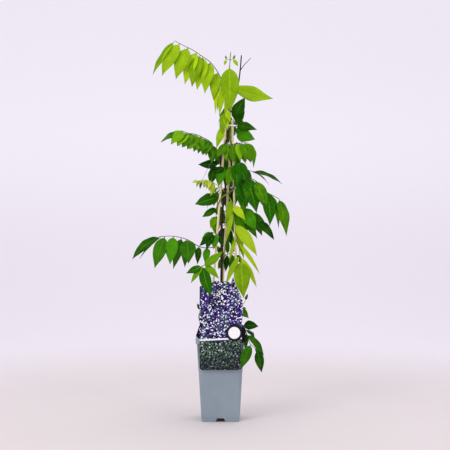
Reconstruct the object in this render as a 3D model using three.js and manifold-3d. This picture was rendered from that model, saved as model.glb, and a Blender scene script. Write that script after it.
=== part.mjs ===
import * as THREE from "three";
import { mergeVertices } from "three/addons/utils/BufferGeometryUtils.js";
import Module from "manifold-3d";

// A young wisteria, trained up three bamboo canes in a square nursery pot.
// Millimetres, +Z up. The origin is the middle of the pot's underside, and -Y is the front.

// Pot
const POT_HEIGHT = 201;
const RIM_HALF_WIDTH = 60.2;
const RIM_DEPTH = 12.5;
const FOOT_HALF_WIDTH = 45.9;
const FOOT_HEIGHT = 8.5;
const WALL = 1.5;
const WALL_FOOT = 46.6;
const WALL_HEAD = 56.4;
const FLOOR = 2.2;
const STEP_HEIGHT = 121;
const CORNER_SHARE = 0.2;
const NOTCH = { foot: 26, head: 16, height: 8.4, depth: 12 };
const DRAIN_RADIUS = 4;
const DRAIN_PLACE = 27;

// Soil and what stands in it
const SOIL_TOP = 184;
const SOIL_FOOT = 2.6;
const SOIL_LUMP = 1.3;
const HOLE_CLEARANCE = 0.35;
const CANE_RADIUS = 3;
const CANE_FOOT = 70;
const CANE_HEAD = 731;
const CANES = {
  left: { foot: [-29, -22, 185], head: [13.5, -2, 730] },
  right: { foot: [42.5, -14, 185], head: [28.5, -7, 730] },
  back: { foot: [-3, 38, 185], head: [27.5, 9.5, 730] },
};
const RING = { center: [23, 0, 717], inner: 14.5, outer: 16, height: 3 };

// Stems
const TRUNK_RADIUS = 4.2;
const WOODY_RADIUS = 2.4;
const GREEN_RADIUS = 1.7;
const WINDING_GAP = 0.8;
const STALK_RADIUS = 1.25;
const STALK_SIDES = 3;
const STALK_NECK = 4;
const STALK_STEPS = 1.5;
const STEM_GAP = 0.3;

// Leaflets: a thin blade, folded at its midrib, with its share of the half width at each station
const BLADE_THICKNESS = 0.8;
const LARGE_LEAFLET = 76;
const LARGE_STATIONS = [[0.22, 0.82], [0.48, 1], [0.78, 0.5]];
const SMALL_STATIONS = [[0.3, 0.96], [0.7, 0.68]];
const BLADE_FOLD = 0.2;
const BLADE_ARCH = 0.07;
const ROOT_DEPTH = 0.4;
const PAIR_OFFSET = 0.014;

// Label card
const CARD_THICKNESS = 0.8;
const CARD_BACK = -60.6;
const RIM_CLEARANCE = 0.4;
const TONGUE = { left: -40, right: 22, face: -53.9, foot: 188 };
const STICKER = { x: 33, z: 216, radius: 18.5, thickness: 0.5, gap: 0.3, border: 1.5 };

const wasm = await Module();
wasm.setup();

const toVector = (point) => new THREE.Vector3(...point);
const radians = THREE.MathUtils.degToRad;
const lerp = THREE.MathUtils.lerp;

// A closed three.js geometry as a manifold solid.
function solidOf(geometry) {
  const bare = geometry.clone();
  bare.deleteAttribute("normal");
  bare.deleteAttribute("uv");
  const merged = mergeVertices(bare, 1e-4);
  return new wasm.Manifold(new wasm.Mesh({
    numProp: 3,
    vertProperties: new Float32Array(merged.attributes.position.array),
    triVerts: new Uint32Array(merged.index.array),
  }));
}

function meshOf(name, solid, material) {
  const { vertProperties, triVerts } = solid.getMesh();
  const geometry = new THREE.BufferGeometry();
  geometry.setAttribute("position", new THREE.BufferAttribute(vertProperties, 3));
  geometry.setIndex(new THREE.BufferAttribute(triVerts, 1));
  const mesh = new THREE.Mesh(geometry, material);
  mesh.name = name;
  return mesh;
}

function finish(color, roughness) {
  return new THREE.MeshStandardMaterial({ color, roughness, metalness: 0, flatShading: true });
}

// Repeatable draws between -1 and 1.
function draws(seed) {
  let state = seed;
  return () => {
    state = (state * 16807) % 2147483647;
    return (state / 2147483647) * 2 - 1;
  };
}

function curveThrough(points) {
  return new THREE.CatmullRomCurve3(points, false, "centripetal");
}

// A closed round bar along a curve.
function tube(curve, radius, sides, steps) {
  const section = new THREE.Shape();
  for (let i = 0; i < sides; i++) {
    const angle = (2 * Math.PI * (i + 0.5)) / sides;
    const move = i === 0 ? "moveTo" : "lineTo";
    section[move](radius * Math.cos(angle), radius * Math.sin(angle));
  }
  const settings = { steps, bevelEnabled: false, extrudePath: curve };
  return solidOf(new THREE.ExtrudeGeometry(section, settings));
}

// ---- Pot and soil ----

// The outline of a square with round corners and a half width of 1, in one turn.
function squareOutline() {
  const outline = [];
  const arm = 1 - CORNER_SHARE;
  const cornerSteps = 3;
  for (let corner = 0; corner < 4; corner++) {
    const diagonal = radians(45 + 90 * corner);
    for (let i = 0; i <= cornerSteps; i++) {
      const angle = radians(90 * (corner + i / cornerSteps));
      const x = arm * Math.SQRT2 * Math.cos(diagonal) + CORNER_SHARE * Math.cos(angle);
      const y = arm * Math.SQRT2 * Math.sin(diagonal) + CORNER_SHARE * Math.sin(angle);
      outline.push([x, y]);
    }
  }
  return outline;
}

// A lathe of the profile [half width, height], with its turns squared.
function squareLathe(profile, bump = () => 0) {
  const outline = squareOutline();
  const points = profile.map(([width, height]) => new THREE.Vector2(width, height));
  const geometry = new THREE.LatheGeometry(points, outline.length);
  const position = geometry.attributes.position;
  for (let turn = 0; turn <= outline.length; turn++) {
    const [x, y] = outline[turn % outline.length];
    for (let level = 0; level < profile.length; level++) {
      const [width, height] = profile[level];
      const lift = bump(turn % outline.length, level);
      position.setXYZ(turn * profile.length + level, x * width, y * width, height + lift);
    }
  }
  return geometry;
}

// The pot's outer half width at a height on the plain wall.
function wallAt(height) {
  const share = (height - FOOT_HEIGHT) / (POT_HEIGHT - RIM_DEPTH - FOOT_HEIGHT);
  return lerp(WALL_FOOT, WALL_HEAD, share);
}

function potSolid() {
  const rimFoot = POT_HEIGHT - RIM_DEPTH;
  const inner = (height) => wallAt(height) - WALL;
  const profile = [
    [0, 0],
    [FOOT_HALF_WIDTH - 1.5, 0],
    [FOOT_HALF_WIDTH - 0.3, 1.2],
    [FOOT_HALF_WIDTH, FOOT_HEIGHT],
    [wallAt(FOOT_HEIGHT + 0.7), FOOT_HEIGHT + 0.7],
    [wallAt(STEP_HEIGHT), STEP_HEIGHT],
    [wallAt(STEP_HEIGHT) + 0.5, STEP_HEIGHT + 0.6],
    [wallAt(rimFoot) + 0.5, rimFoot],
    [wallAt(rimFoot) + 0.6, POT_HEIGHT - 1.6],
    [RIM_HALF_WIDTH - 1.6, POT_HEIGHT - 1.6],
    [RIM_HALF_WIDTH - 1.9, rimFoot],
    [RIM_HALF_WIDTH - 0.5, rimFoot],
    [RIM_HALF_WIDTH, POT_HEIGHT - 0.8],
    [RIM_HALF_WIDTH - 0.8, POT_HEIGHT],
    [wallAt(rimFoot) - 0.9, POT_HEIGHT],
    [inner(rimFoot), rimFoot],
    [inner(FOOT_HEIGHT), FLOOR],
    [0, FLOOR],
  ];
  let pot = solidOf(squareLathe(profile));
  const notchShape = new THREE.Shape();
  notchShape.moveTo(-NOTCH.foot / 2, -1);
  notchShape.lineTo(NOTCH.foot / 2, -1);
  notchShape.lineTo(NOTCH.head / 2, NOTCH.height);
  notchShape.lineTo(-NOTCH.head / 2, NOTCH.height);
  for (let side = 0; side < 4; side++) {
    const notch = new THREE.ExtrudeGeometry(notchShape, { depth: NOTCH.depth, bevelEnabled: false });
    notch.rotateX(Math.PI / 2);
    notch.translate(0, 4 - FOOT_HALF_WIDTH + NOTCH.depth / 2, 0);
    notch.rotateZ((side * Math.PI) / 2);
    pot = pot.subtract(solidOf(notch));
    const drain = new THREE.CylinderGeometry(DRAIN_RADIUS, DRAIN_RADIUS, 6, 12);
    drain.rotateX(Math.PI / 2);
    drain.translate(DRAIN_PLACE, DRAIN_PLACE, 1);
    drain.rotateZ((side * Math.PI) / 2);
    pot = pot.subtract(solidOf(drain));
  }
  return pot;
}

// One body of soil, lumpy on top, with plain holes for the canes and the trunk.
function soilSolid(holes) {
  const inset = WALL + 0.35;
  const profile = [
    [0, SOIL_FOOT],
    [wallAt(FOOT_HEIGHT) - inset, SOIL_FOOT],
    [wallAt(SOIL_TOP - 6) - inset, SOIL_TOP - 6],
    [wallAt(SOIL_TOP - 6) - inset - 3, SOIL_TOP - 2],
    [40, SOIL_TOP - 1],
    [26, SOIL_TOP],
    [12, SOIL_TOP + 1.5],
    [0, SOIL_TOP + 1.5],
  ];
  const next = draws(4127);
  const isTop = (level) => level >= 3 && level <= 6;
  const lumps = profile.map((_, level) => squareOutline().map(() => (isTop(level) ? next() : 0)));
  let soil = solidOf(squareLathe(profile, (turn, level) => SOIL_LUMP * lumps[level][turn]));
  for (const hole of holes) soil = soil.subtract(hole);
  return soil;
}

// ---- Canes and ring ----

// The middle of a cane at a height.
function caneAt({ foot, head }, height) {
  const share = (height - foot[2]) / (head[2] - foot[2]);
  return toVector(foot).lerp(toVector(head), share);
}

function caneSolid(cane, radius, low, high) {
  return tube(new THREE.LineCurve3(caneAt(cane, low), caneAt(cane, high)), radius, 8, 1);
}

function ringSolid() {
  const { center, inner, outer, height } = RING;
  const profile = [
    new THREE.Vector2(inner, -height / 2),
    new THREE.Vector2(outer, -height / 2),
    new THREE.Vector2(outer, height / 2),
    new THREE.Vector2(inner, height / 2),
    new THREE.Vector2(inner, -height / 2),
  ];
  const ring = new THREE.LatheGeometry(profile, 16);
  ring.rotateX(Math.PI / 2);
  ring.translate(...center);
  return solidOf(ring);
}

// ---- Stems ----

// Points of a stem that winds round a cane, from one height and angle to another.
function windings(cane, stemRadius, from, to) {
  const points = [];
  const reach = CANE_RADIUS + stemRadius + WINDING_GAP;
  const count = Math.ceil(Math.abs(to.angle - from.angle) / 45);
  for (let i = 0; i <= count; i++) {
    const height = lerp(from.height, to.height, i / count);
    const angle = radians(lerp(from.angle, to.angle, i / count));
    const middle = caneAt(cane, height);
    points.push(new THREE.Vector3(
      middle.x + reach * Math.cos(angle),
      middle.y + reach * Math.sin(angle),
      height,
    ));
  }
  return points;
}

const WOODY_CURVE = curveThrough([
  ...[[4, 4, 150], [4, 3, 200], [2, 2, 260], [2, 0, 330]].map(toVector),
  ...[[3, 2, 400], [2, 3, 460], [6, 2, 520], [12, 1, 566]].map(toVector),
  ...windings(CANES.left, WOODY_RADIUS, { height: 600, angle: 60 }, { height: 690, angle: 360 }),
  ...[[18.5, 2.5, 718], [27, 4, 768], [43, 0, 818], [48, 0, 854], [51, 0, 890]].map(toVector),
]);

const SIDE_TWIG_CURVE = curveThrough([[47.6, 0, 852], [58, 0, 866], [74, 0, 883]].map(toVector));

const GREEN_CURVE = curveThrough([
  ...windings(CANES.left, GREEN_RADIUS, { height: 500, angle: 60 }, { height: 540, angle: 315 }),
  ...windings(CANES.right, GREEN_RADIUS, { height: 562, angle: 250 }, { height: 690, angle: 540 }),
  ...[[24, -1.5, 718], [20, -2.5, 765], [21, -1, 815], [22, 0, 859], [25, 0, 898]].map(toVector),
]);

// Each stem is made of runs that lap over each other and grow thinner upwards.
const STEMS = {
  woody: {
    curve: WOODY_CURVE,
    sides: 6,
    runs: [
      { low: null, high: 262, radius: TRUNK_RADIUS, steps: 5 },
      { low: 252, high: 470, radius: 3.2, steps: 8 },
      { low: 460, high: 740, radius: WOODY_RADIUS, steps: 24 },
      { low: 730, high: null, radius: 1.6, steps: 7 },
    ],
  },
  green: {
    curve: GREEN_CURVE,
    sides: 5,
    runs: [
      { low: null, high: 800, radius: GREEN_RADIUS, steps: 36 },
      { low: 790, high: null, radius: 1.1, steps: 5 },
    ],
  },
};

function radiusAt({ runs }, height) {
  return runs.find(({ high }) => high === null || height < high).radius;
}

// The share of a rising curve at which it reaches a height.
function shareAt(curve, height) {
  let low = 0;
  let high = 1;
  for (let i = 0; i < 30; i++) {
    const middle = (low + high) / 2;
    if (curve.getPoint(middle).z < height) low = middle;
    else high = middle;
  }
  return low;
}

// The run of a curve between two heights, as a curve of its own.
function runOf(curve, low, high, count) {
  const from = low === null ? 0 : shareAt(curve, low);
  const to = high === null ? 1 : shareAt(curve, high);
  const points = [];
  for (let i = 0; i <= count; i++) points.push(curve.getPoint(lerp(from, to, i / count)));
  return curveThrough(points);
}

function stemSolid({ curve, sides, runs }) {
  const tubes = runs.map(({ low, high, radius, steps }) => (
    tube(runOf(curve, low, high, steps), radius, sides, steps)
  ));
  return tubes.reduce((whole, run) => whole.add(run));
}

// ---- Fronds ----

// A leaflet from its root to its tip. Its upper side looks along face, and bow moves its middle.
function blade(root, tip, width, face, bow) {
  const along = tip.clone().sub(root);
  const length = along.length();
  along.normalize();
  const up = face.clone().addScaledVector(along, -face.dot(along)).normalize();
  const across = along.clone().cross(up);
  const middle = (share) => root.clone().lerp(tip, share)
    .addScaledVector(up, 4 * BLADE_ARCH * length * share * (1 - share))
    .addScaledVector(bow, 4 * share * (1 - share));
  const stations = length > LARGE_LEAFLET ? LARGE_STATIONS : SMALL_STATIONS;
  const positions = [...root.toArray()];
  for (const [share, fullness] of stations) {
    const half = (width / 2) * fullness;
    for (const level of [BLADE_THICKNESS / 2, -BLADE_THICKNESS / 2]) {
      for (const side of [-1, 0, 1]) {
        const point = middle(share)
          .addScaledVector(across, side * half)
          .addScaledVector(up, level + Math.abs(side) * half * BLADE_FOLD);
        positions.push(...point.toArray());
      }
    }
  }
  positions.push(...tip.toArray());
  return solidOf(bladeGeometry(positions, stations.length));
}

// The faces of a leaflet: both sides are split alike, and a narrow wall runs round the edge.
function bladeGeometry(positions, stationCount) {
  const rootIndex = 0;
  const tipIndex = 1 + 6 * stationCount;
  const at = (station, level, side) => {
    if (station < 0) return rootIndex;
    if (station >= stationCount) return tipIndex;
    return 1 + station * 6 + level * 3 + side;
  };
  const faces = [];
  const quad = (a, b, c, d) => {
    if (b !== c) faces.push([a, b, c]);
    if (d !== a) faces.push([a, c, d]);
  };
  for (let station = -1; station < stationCount; station++) {
    const next = station + 1;
    for (let side = 0; side < 2; side++) {
      const right = side + 1;
      quad(at(station, 0, right), at(next, 0, right), at(next, 0, side), at(station, 0, side));
      quad(at(station, 1, side), at(next, 1, side), at(next, 1, right), at(station, 1, right));
    }
    quad(at(station, 0, 0), at(next, 0, 0), at(next, 1, 0), at(station, 1, 0));
    quad(at(station, 1, 2), at(next, 1, 2), at(next, 0, 2), at(station, 0, 2));
  }
  const geometry = new THREE.BufferGeometry();
  geometry.setAttribute("position", new THREE.Float32BufferAttribute(positions, 3));
  geometry.setIndex(faces.flat());
  return geometry;
}

const UP = new THREE.Vector3(0, 0, 1);
const FRONT = new THREE.Vector3(0, -0.9, 0.4);
const STILL = new THREE.Vector3();

// The stalk of a frond leaves its stem square to it and goes through the frond's own points.
function stalkCurve({ stem, height, heading, through }) {
  const { curve } = STEMS[stem];
  const share = shareAt(curve, height);
  const start = curve.getPoint(share);
  const tangent = curve.getTangent(share);
  const away = new THREE.Vector3(Math.cos(radians(heading)), Math.sin(radians(heading)), 0);
  away.addScaledVector(tangent, -away.dot(tangent)).normalize();
  const reach = radiusAt(STEMS[stem], height) + STEM_GAP;
  const first = start.clone().addScaledVector(away, reach);
  const second = start.clone().addScaledVector(away, reach + STALK_NECK);
  return curveThrough([first, second, ...through.map(toVector)]);
}

// The pairs of a frond: each leaflet leaves the stalk sideways, leans to the tip and droops.
function pairLeaflets(curve, pairs, next) {
  const { count, from, to, length, width, sweep, spread, droop } = pairs;
  const leaflets = [];
  for (let i = 0; i < count; i++) {
    const share = count > 1 ? i / (count - 1) : 0;
    for (const side of [-1, 1]) {
      const at = lerp(from, to, share) + side * PAIR_OFFSET;
      const root = curve.getPoint(at);
      const tangent = curve.getTangent(at);
      const sideways = tangent.clone().cross(UP).normalize().multiplyScalar(side);
      const reach = spread * (1 + 0.2 * next());
      const direction = tangent.clone().multiplyScalar(lerp(sweep[0], sweep[1], share) + 0.06 * next())
        .addScaledVector(sideways, reach)
        .addScaledVector(UP, -droop)
        .normalize();
      const size = lerp(length[0], length[1], share) * (1 + 0.06 * next());
      const face = sideways.clone().multiplyScalar(droop).addScaledVector(UP, reach + 0.2);
      face.addScaledVector(tangent, 0.35 * next());
      const tip = root.clone().addScaledVector(direction, size);
      leaflets.push({ root, tip, width: (width * size) / length[1], face, bow: STILL });
    }
  }
  return leaflets;
}

function leafletsOf(frond, curve) {
  const listed = (frond.leaflets ?? []).map(({ at, tip, width, face, bow }) => ({
    root: curve.getPoint(at),
    tip: toVector(tip),
    width,
    face: face ? toVector(face) : FRONT,
    bow: bow ? toVector(bow) : STILL,
  }));
  const ruled = frond.pairs ? pairLeaflets(curve, frond.pairs, draws(frond.seed)) : [];
  return [...ruled, ...listed];
}

function frondSolid(frond) {
  const curve = stalkCurve(frond);
  const steps = Math.ceil(STALK_STEPS * (frond.through.length + 1));
  let solid = tube(curve, frond.stalk ?? STALK_RADIUS, STALK_SIDES, steps);
  for (const { root, tip, width, face, bow } of leafletsOf(frond, curve)) {
    const sunk = root.clone().addScaledVector(tip.clone().sub(root).normalize(), -ROOT_DEPTH);
    solid = solid.add(blade(sunk, tip, width, face, bow));
  }
  return solid;
}

// Each frond leaves a stem at a height and a heading, and goes through its points to its end.
// A leaflet is listed by its place along the stalk, its tip and its width, or follows from pairs.
const FRONDS = [
  {
    name: "frond_top_left", tone: "young", stem: "green", height: 792, heading: 205,
    through: [
      [1, -12, 832], [-23, -18, 868], [-48, -22, 886],
      [-68, -24, 899], [-97, -25, 913], [-111, -25, 921],
    ],
    leaflets: [
      { at: 1, tip: [-168, -27, 840], width: 25, face: [-0.55, -0.65, 0.5], bow: [3, 0, -4] },
      { at: 0.87, tip: [-142, -38, 836], width: 35, bow: [-2, 0, 0] },
      { at: 0.76, tip: [-108, -40, 826], width: 35, bow: [-2, 0, 0] },
      { at: 0.64, tip: [-87, -32, 815], width: 30, bow: [-2, 0, 0] },
      { at: 0.58, tip: [-69, -40, 807], width: 32, bow: [-2, 0, 0] },
      { at: 0.5, tip: [-57, -34, 801], width: 30, bow: [-2, 0, 0] },
      { at: 0.43, tip: [-38, -40, 792], width: 31, bow: [-2, 0, 0] },
      { at: 0.34, tip: [-17, -34, 776], width: 25, bow: [-2, 0, 0] },
      { at: 0.88, tip: [-136, 6, 854], width: 27, face: [-0.2, 0.8, 0.5] },
      { at: 0.77, tip: [-104, 8, 845], width: 28, face: [-0.2, 0.8, 0.5] },
      { at: 0.65, tip: [-82, 9, 835], width: 28, face: [-0.2, 0.8, 0.5] },
      { at: 0.54, tip: [-62, 10, 827], width: 27, face: [-0.2, 0.8, 0.5] },
      { at: 0.44, tip: [-40, 10, 818], width: 25, face: [-0.2, 0.8, 0.5] },
      { at: 0.2, tip: [-9, -26, 754], width: 13, face: [-0.5, -0.9, 0] },
      { at: 0.29, tip: [-13, -34, 744], width: 14, face: [-0.5, -0.9, 0] },
    ],
  },
  {
    name: "frond_top_front", tone: "young", stem: "green", height: 797, heading: 290,
    through: [[33, -25, 816], [25, -55, 841], [21, -75, 852]],
    leaflets: [
      { at: 1, tip: [23, -79, 744], width: 45, face: [0, -1, 0.1] },
      { at: 0.42, tip: [127, -22, 782], width: 43, face: [0, -0.85, 0.5], bow: [0, 0, -10] },
      { at: 0.75, tip: [-5, -62, 733], width: 21, face: [-0.4, -0.9, 0.2] },
      { at: 0.5, tip: [9, -46, 736], width: 18, face: [-0.3, -0.9, 0.2] },
    ],
  },
  {
    name: "young_leaf_left", tone: "young", stem: "green", height: 879, heading: 180, stalk: 0.6,
    through: [[14, 0, 879]],
    leaflets: [
      { at: 1, tip: [12, 0, 890], width: 5 },
      { at: 0.97, tip: [9, 0, 865], width: 7 },
    ],
  },
  {
    name: "young_leaf_right", tone: "young", stem: "green", height: 879, heading: 0, stalk: 0.6,
    through: [[31, 0, 879]],
    leaflets: [
      { at: 1, tip: [36, 0, 891], width: 6 },
      { at: 0.97, tip: [43, 0, 863], width: 10 },
    ],
  },
  {
    name: "frond_upper_left", tone: "young", stem: "green", height: 757, heading: 230,
    through: [[10, -14, 752], [8, -20, 734], [7, -24, 716]],
    leaflets: [
      { at: 0.55, tip: [4, -36, 694], width: 18 },
      { at: 1, tip: [-11, -28, 660], width: 20, face: [-0.4, -0.9, 0], bow: [3, 0, 0] },
      { at: 0.7, tip: [18, -34, 704], width: 12, face: [0.3, -0.9, 0.1] },
      { at: 0.38, tip: [23, -28, 722], width: 15, face: [0.2, -0.9, 0.1] },
    ],
  },
  {
    name: "frond_upper_right", tone: "dark", stem: "green", height: 690, heading: 70,
    through: [[37, 13, 699], [38, 20, 712], [36, 22, 724], [32, 22, 733]],
    leaflets: [
      { at: 1, tip: [60, 20, 790], width: 31 },
      { at: 0.82, tip: [60, 14, 755], width: 20, face: [0.2, -0.9, 0.3] },
      { at: 0.7, tip: [89, 10, 709], width: 25, face: [0, -0.9, 0.4] },
      { at: 0.44, tip: [84, 2, 685], width: 36, face: [0, -0.9, 0.4], bow: [0, 0, -4] },
      { at: 0.96, tip: [17, 29, 674], width: 24 },
      { at: 0.6, tip: [52, 64, 704], width: 22, face: [-0.2, 0.8, 0.5] },
      { at: 0.84, tip: [60, 60, 730], width: 20, face: [-0.2, 0.8, 0.5] },
    ],
  },
  {
    name: "frond_second_left", tone: "mid", stem: "woody", height: 645, heading: 195, seed: 23,
    through: [[-26, -8, 678], [-40, -10, 686], [-60, -12, 695], [-79, -14, 698], [-96, -15, 704]],
    pairs: {
      count: 8, from: 0.27, to: 0.95, length: [42, 44], width: 26,
      sweep: [0.2, 0.7], spread: 0.45, droop: 0.95,
    },
    leaflets: [
      { at: 1, tip: [-147, -17, 677], width: 22, face: [-0.4, -0.6, 0.7], bow: [0, 0, -4] },
      { at: 0.25, tip: [-16, -22, 638], width: 19 },
    ],
  },
  {
    name: "frond_center", tone: "mid", stem: "woody", height: 672, heading: 285, seed: 31,
    through: [[25, -25, 669], [40, -27, 672], [52, -27, 673], [64, -27, 674]],
    pairs: {
      count: 5, from: 0.3, to: 0.92, length: [46, 50], width: 21,
      sweep: [0.05, 0.35], spread: 0.3, droop: 1.1,
    },
    leaflets: [
      { at: 1, tip: [80, -30, 613], width: 20, face: [0.5, -0.8, 0.3], bow: [3, 0, 4] },
      { at: 0.3, tip: [-11, -30, 637], width: 22 },
    ],
  },
  {
    name: "frond_left_dark", tone: "dark", stem: "woody", height: 590, heading: 120,
    through: [[4, 12, 610], [-4, 18, 624], [-12, 22, 622], [-18, 24, 612]],
    leaflets: [
      { at: 0.6, tip: [-56, 30, 625], width: 24, face: [0, -0.9, 0.4], bow: [0, 0, -3] },
      { at: 0.92, tip: [-25, 28, 574], width: 22 },
      { at: 1, tip: [-20, 34, 593], width: 17 },
      { at: 0.4, tip: [-6, 26, 572], width: 22 },
      { at: 0.45, tip: [-9, 58, 580], width: 20, face: [-0.2, 0.8, 0.5] },
      { at: 0.85, tip: [-20, 60, 588], width: 20, face: [-0.2, 0.8, 0.5] },
    ],
  },
  {
    name: "frond_inner_left", tone: "dark", stem: "woody", height: 608, heading: 350,
    through: [[16, -7, 610], [17, -18, 614], [8, -24, 614]],
    leaflets: [
      { at: 0.98, tip: [-16, -27, 598], width: 17 },
      { at: 0.92, tip: [-6, -31, 566], width: 19 },
      { at: 0.72, tip: [8, -30, 574], width: 13 },
    ],
  },
  {
    name: "hanging_shoot", tone: "bud", stem: "woody", height: 634, heading: 180, stalk: 0.6,
    through: [[-10, -12, 640], [-26, -24, 620], [-38, -32, 595], [-46, -34, 579]],
    leaflets: [{ at: 1, tip: [-50, -35, 560], width: 5 }],
  },
  {
    name: "frond_young_left", tone: "tender", stem: "woody", height: 556, heading: 235,
    seed: 41, stalk: 0.8,
    through: [
      [5, -16, 564], [-10, -19, 572], [-20, -21, 579],
      [-30, -22, 583], [-43, -23, 583], [-55, -23, 581],
    ],
    pairs: {
      count: 5, from: 0.56, to: 0.95, length: [27, 19], width: 7,
      sweep: [0.2, 0.5], spread: 0.5, droop: 0.9,
    },
    leaflets: [
      { at: 1, tip: [-69, -23, 577], width: 8 },
      { at: 0.5, tip: [-24, -26, 544], width: 11 },
    ],
  },
  {
    name: "frond_left_mid", tone: "mid", stem: "woody", height: 530, heading: 140,
    through: [[-1, 14, 548], [-6, 20, 540], [-9, 23, 520], [-11, 24, 500], [-12, 24, 486]],
    leaflets: [
      { at: 0.45, tip: [-64, 20, 526], width: 34, face: [0, -0.85, 0.5], bow: [0, 0, -3] },
      { at: 0.7, tip: [-46, 24, 494], width: 18, bow: [0, 0, -2] },
      { at: 0.88, tip: [-25, 24, 466], width: 18 },
      { at: 1, tip: [-12, 27, 450], width: 20 },
      { at: 0.62, tip: [10, 15, 474], width: 20 },
      { at: 0.7, tip: [2, 66, 492], width: 24, face: [0, 0.8, 0.5] },
      { at: 0.88, tip: [-4, 60, 466], width: 22, face: [0, 0.8, 0.5] },
    ],
  },
  {
    name: "frond_center_front", tone: "mid", stem: "green", height: 578, heading: 280,
    through: [[33, -26, 604], [36, -30, 620], [40, -34, 628]],
    leaflets: [
      { at: 1, tip: [63, -38, 577], width: 30 },
      { at: 0.78, tip: [14, -34, 568], width: 26 },
      { at: 0.9, tip: [40, -46, 564], width: 26 },
    ],
  },
  {
    name: "frond_right_high", tone: "dark", stem: "green", height: 622, heading: 20,
    through: [[50, 4, 626], [62, 14, 612], [78, 18, 606]],
    leaflets: [
      { at: 1, tip: [153, 14, 576], width: 22, face: [0.3, -0.5, 0.85] },
      { at: 0.92, tip: [122, 30, 574], width: 12, face: [0.3, -0.35, 0.9] },
      { at: 0.72, tip: [76, 44, 568], width: 18, face: [0, 0.8, 0.4] },
    ],
  },
  {
    name: "frond_right_mid", tone: "mid", stem: "green", height: 590, heading: 330,
    through: [
      [48, -19, 589], [66, -24, 589], [84, -26, 582],
      [99, -27, 567], [113, -27, 553], [128, -27, 545], [141, -27, 538],
    ],
    leaflets: [
      { at: 0.22, tip: [65, -42, 518], width: 34 },
      { at: 0.34, tip: [88, -42, 504], width: 41, face: [0.2, -0.95, 0.3] },
      { at: 0.5, tip: [112, -44, 508], width: 30, face: [0.2, -0.9, 0.3] },
      { at: 0.7, tip: [120, -38, 473], width: 34, face: [0.2, -0.9, 0.2], bow: [3, 0, 0] },
      { at: 0.86, tip: [141, -34, 466], width: 14, face: [0.4, -0.8, 0.2] },
      { at: 1, tip: [162, -28, 448], width: 30, face: [0.4, -0.8, 0.3], bow: [-2, 0, 1] },
      { at: 0.26, tip: [57, -37, 500], width: 32 },
      { at: 0.26, tip: [52, 12, 516], width: 22, face: [0, 0.9, 0.4] },
      { at: 0.37, tip: [84, 14, 524], width: 32, face: [0, 0.9, 0.4] },
      { at: 0.52, tip: [112, 8, 512], width: 30, face: [0, 0.9, 0.4] },
    ],
  },
  {
    name: "frond_right_low", tone: "dark", stem: "woody", height: 505, heading: 300,
    through: [
      [18, -16, 512], [34, -21, 515], [47, -21, 516],
      [62, -20, 511], [77, -20, 498], [89, -20, 484],
    ],
    leaflets: [
      { at: 1, tip: [131, -20, 438], width: 24, face: [0.3, -0.8, 0.5] },
      { at: 0.6, tip: [86, -36, 462], width: 36 },
      { at: 0.48, tip: [91, -10, 441], width: 26 },
      { at: 0.42, tip: [57, -32, 454], width: 28 },
      { at: 0.78, tip: [114, -12, 470], width: 17 },
      { at: 0.7, tip: [72, 18, 462], width: 26, face: [0, 0.8, 0.4] },
      { at: 0.9, tip: [102, 10, 448], width: 22, face: [0, 0.8, 0.4] },
    ],
  },
  {
    name: "frond_bright", tone: "bright", stem: "green", height: 548, heading: 280,
    through: [
      [27, -26, 532], [30, -36, 505], [34, -46, 476],
      [40, -54, 443], [45, -60, 414], [48, -64, 390],
    ],
    leaflets: [
      { at: 1, tip: [55, -72, 300], width: 38, face: [0, -1, 0.15] },
      { at: 0.57, tip: [89, -54, 401], width: 28 },
      { at: 0.76, tip: [95, -52, 356], width: 11, face: [0.2, -0.9, 0.2] },
      { at: 0.95, tip: [88, -60, 325], width: 15, face: [0.2, -0.9, 0.2] },
      { at: 0.93, tip: [12, -72, 331], width: 15, face: [-0.3, -0.9, 0.2] },
      { at: 0.7, tip: [20, -56, 385], width: 9, face: [-0.3, -0.9, 0.2] },
      { at: 0.35, tip: [60, -44, 486], width: 20 },
      { at: 0.25, tip: [18, -42, 455], width: 18 },
      { at: 0.42, tip: [14, -54, 436], width: 12 },
      { at: 0.6, tip: [57, -44, 391], width: 15 },
    ],
  },
  {
    name: "frond_lower_left", tone: "dark", stem: "woody", height: 414, heading: 180,
    through: [
      [-14, -4, 419], [-38, -9, 418], [-57, -14, 424], [-74, -18, 435],
      [-91, -20, 442], [-118, -22, 447], [-147, -22, 446],
    ],
    leaflets: [
      { at: 1, tip: [-215, -24, 391], width: 25, face: [-0.3, -0.9, 0.4], bow: [-3, 0, 1] },
      { at: 0.95, tip: [-159, -40, 370], width: 33 },
      { at: 0.86, tip: [-122, -42, 379], width: 31 },
      { at: 0.68, tip: [-77, -42, 382], width: 40 },
      { at: 0.47, tip: [-56, -30, 379], width: 16 },
      { at: 0.34, tip: [-38, -28, 382], width: 18 },
      { at: 0.98, tip: [-199, 2, 391], width: 9, face: [0, 0.3, 1] },
      { at: 0.77, tip: [-116, 4, 367], width: 24, face: [0, 0.9, 0.3] },
      { at: 0.7, tip: [-88, 8, 370], width: 24, face: [0, 0.9, 0.3] },
    ],
  },
  {
    name: "frond_left_small", tone: "dark", stem: "woody", height: 440, heading: 245,
    through: [[-2, -17, 446], [-12, -22, 453], [-22, -23, 457]],
    leaflets: [
      { at: 1, tip: [-52, -24, 423], width: 17, bow: [2, 0, -3] },
      { at: 0.9, tip: [-35, -31, 414], width: 18 },
      { at: 0.72, tip: [-17, -33, 415], width: 18 },
      { at: 0.5, tip: [3, -33, 424], width: 14 },
      { at: 0.97, tip: [-46, -14, 440], width: 12 },
      { at: 0.9, tip: [-42, 4, 444], width: 14, face: [-0.2, 0.6, 0.7] },
    ],
  },
  {
    name: "frond_star", tone: "mid", stem: "woody", height: 398, heading: 250,
    through: [[-2, -22, 396], [-16, -38, 387], [-33, -50, 380], [-45, -57, 375]],
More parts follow.
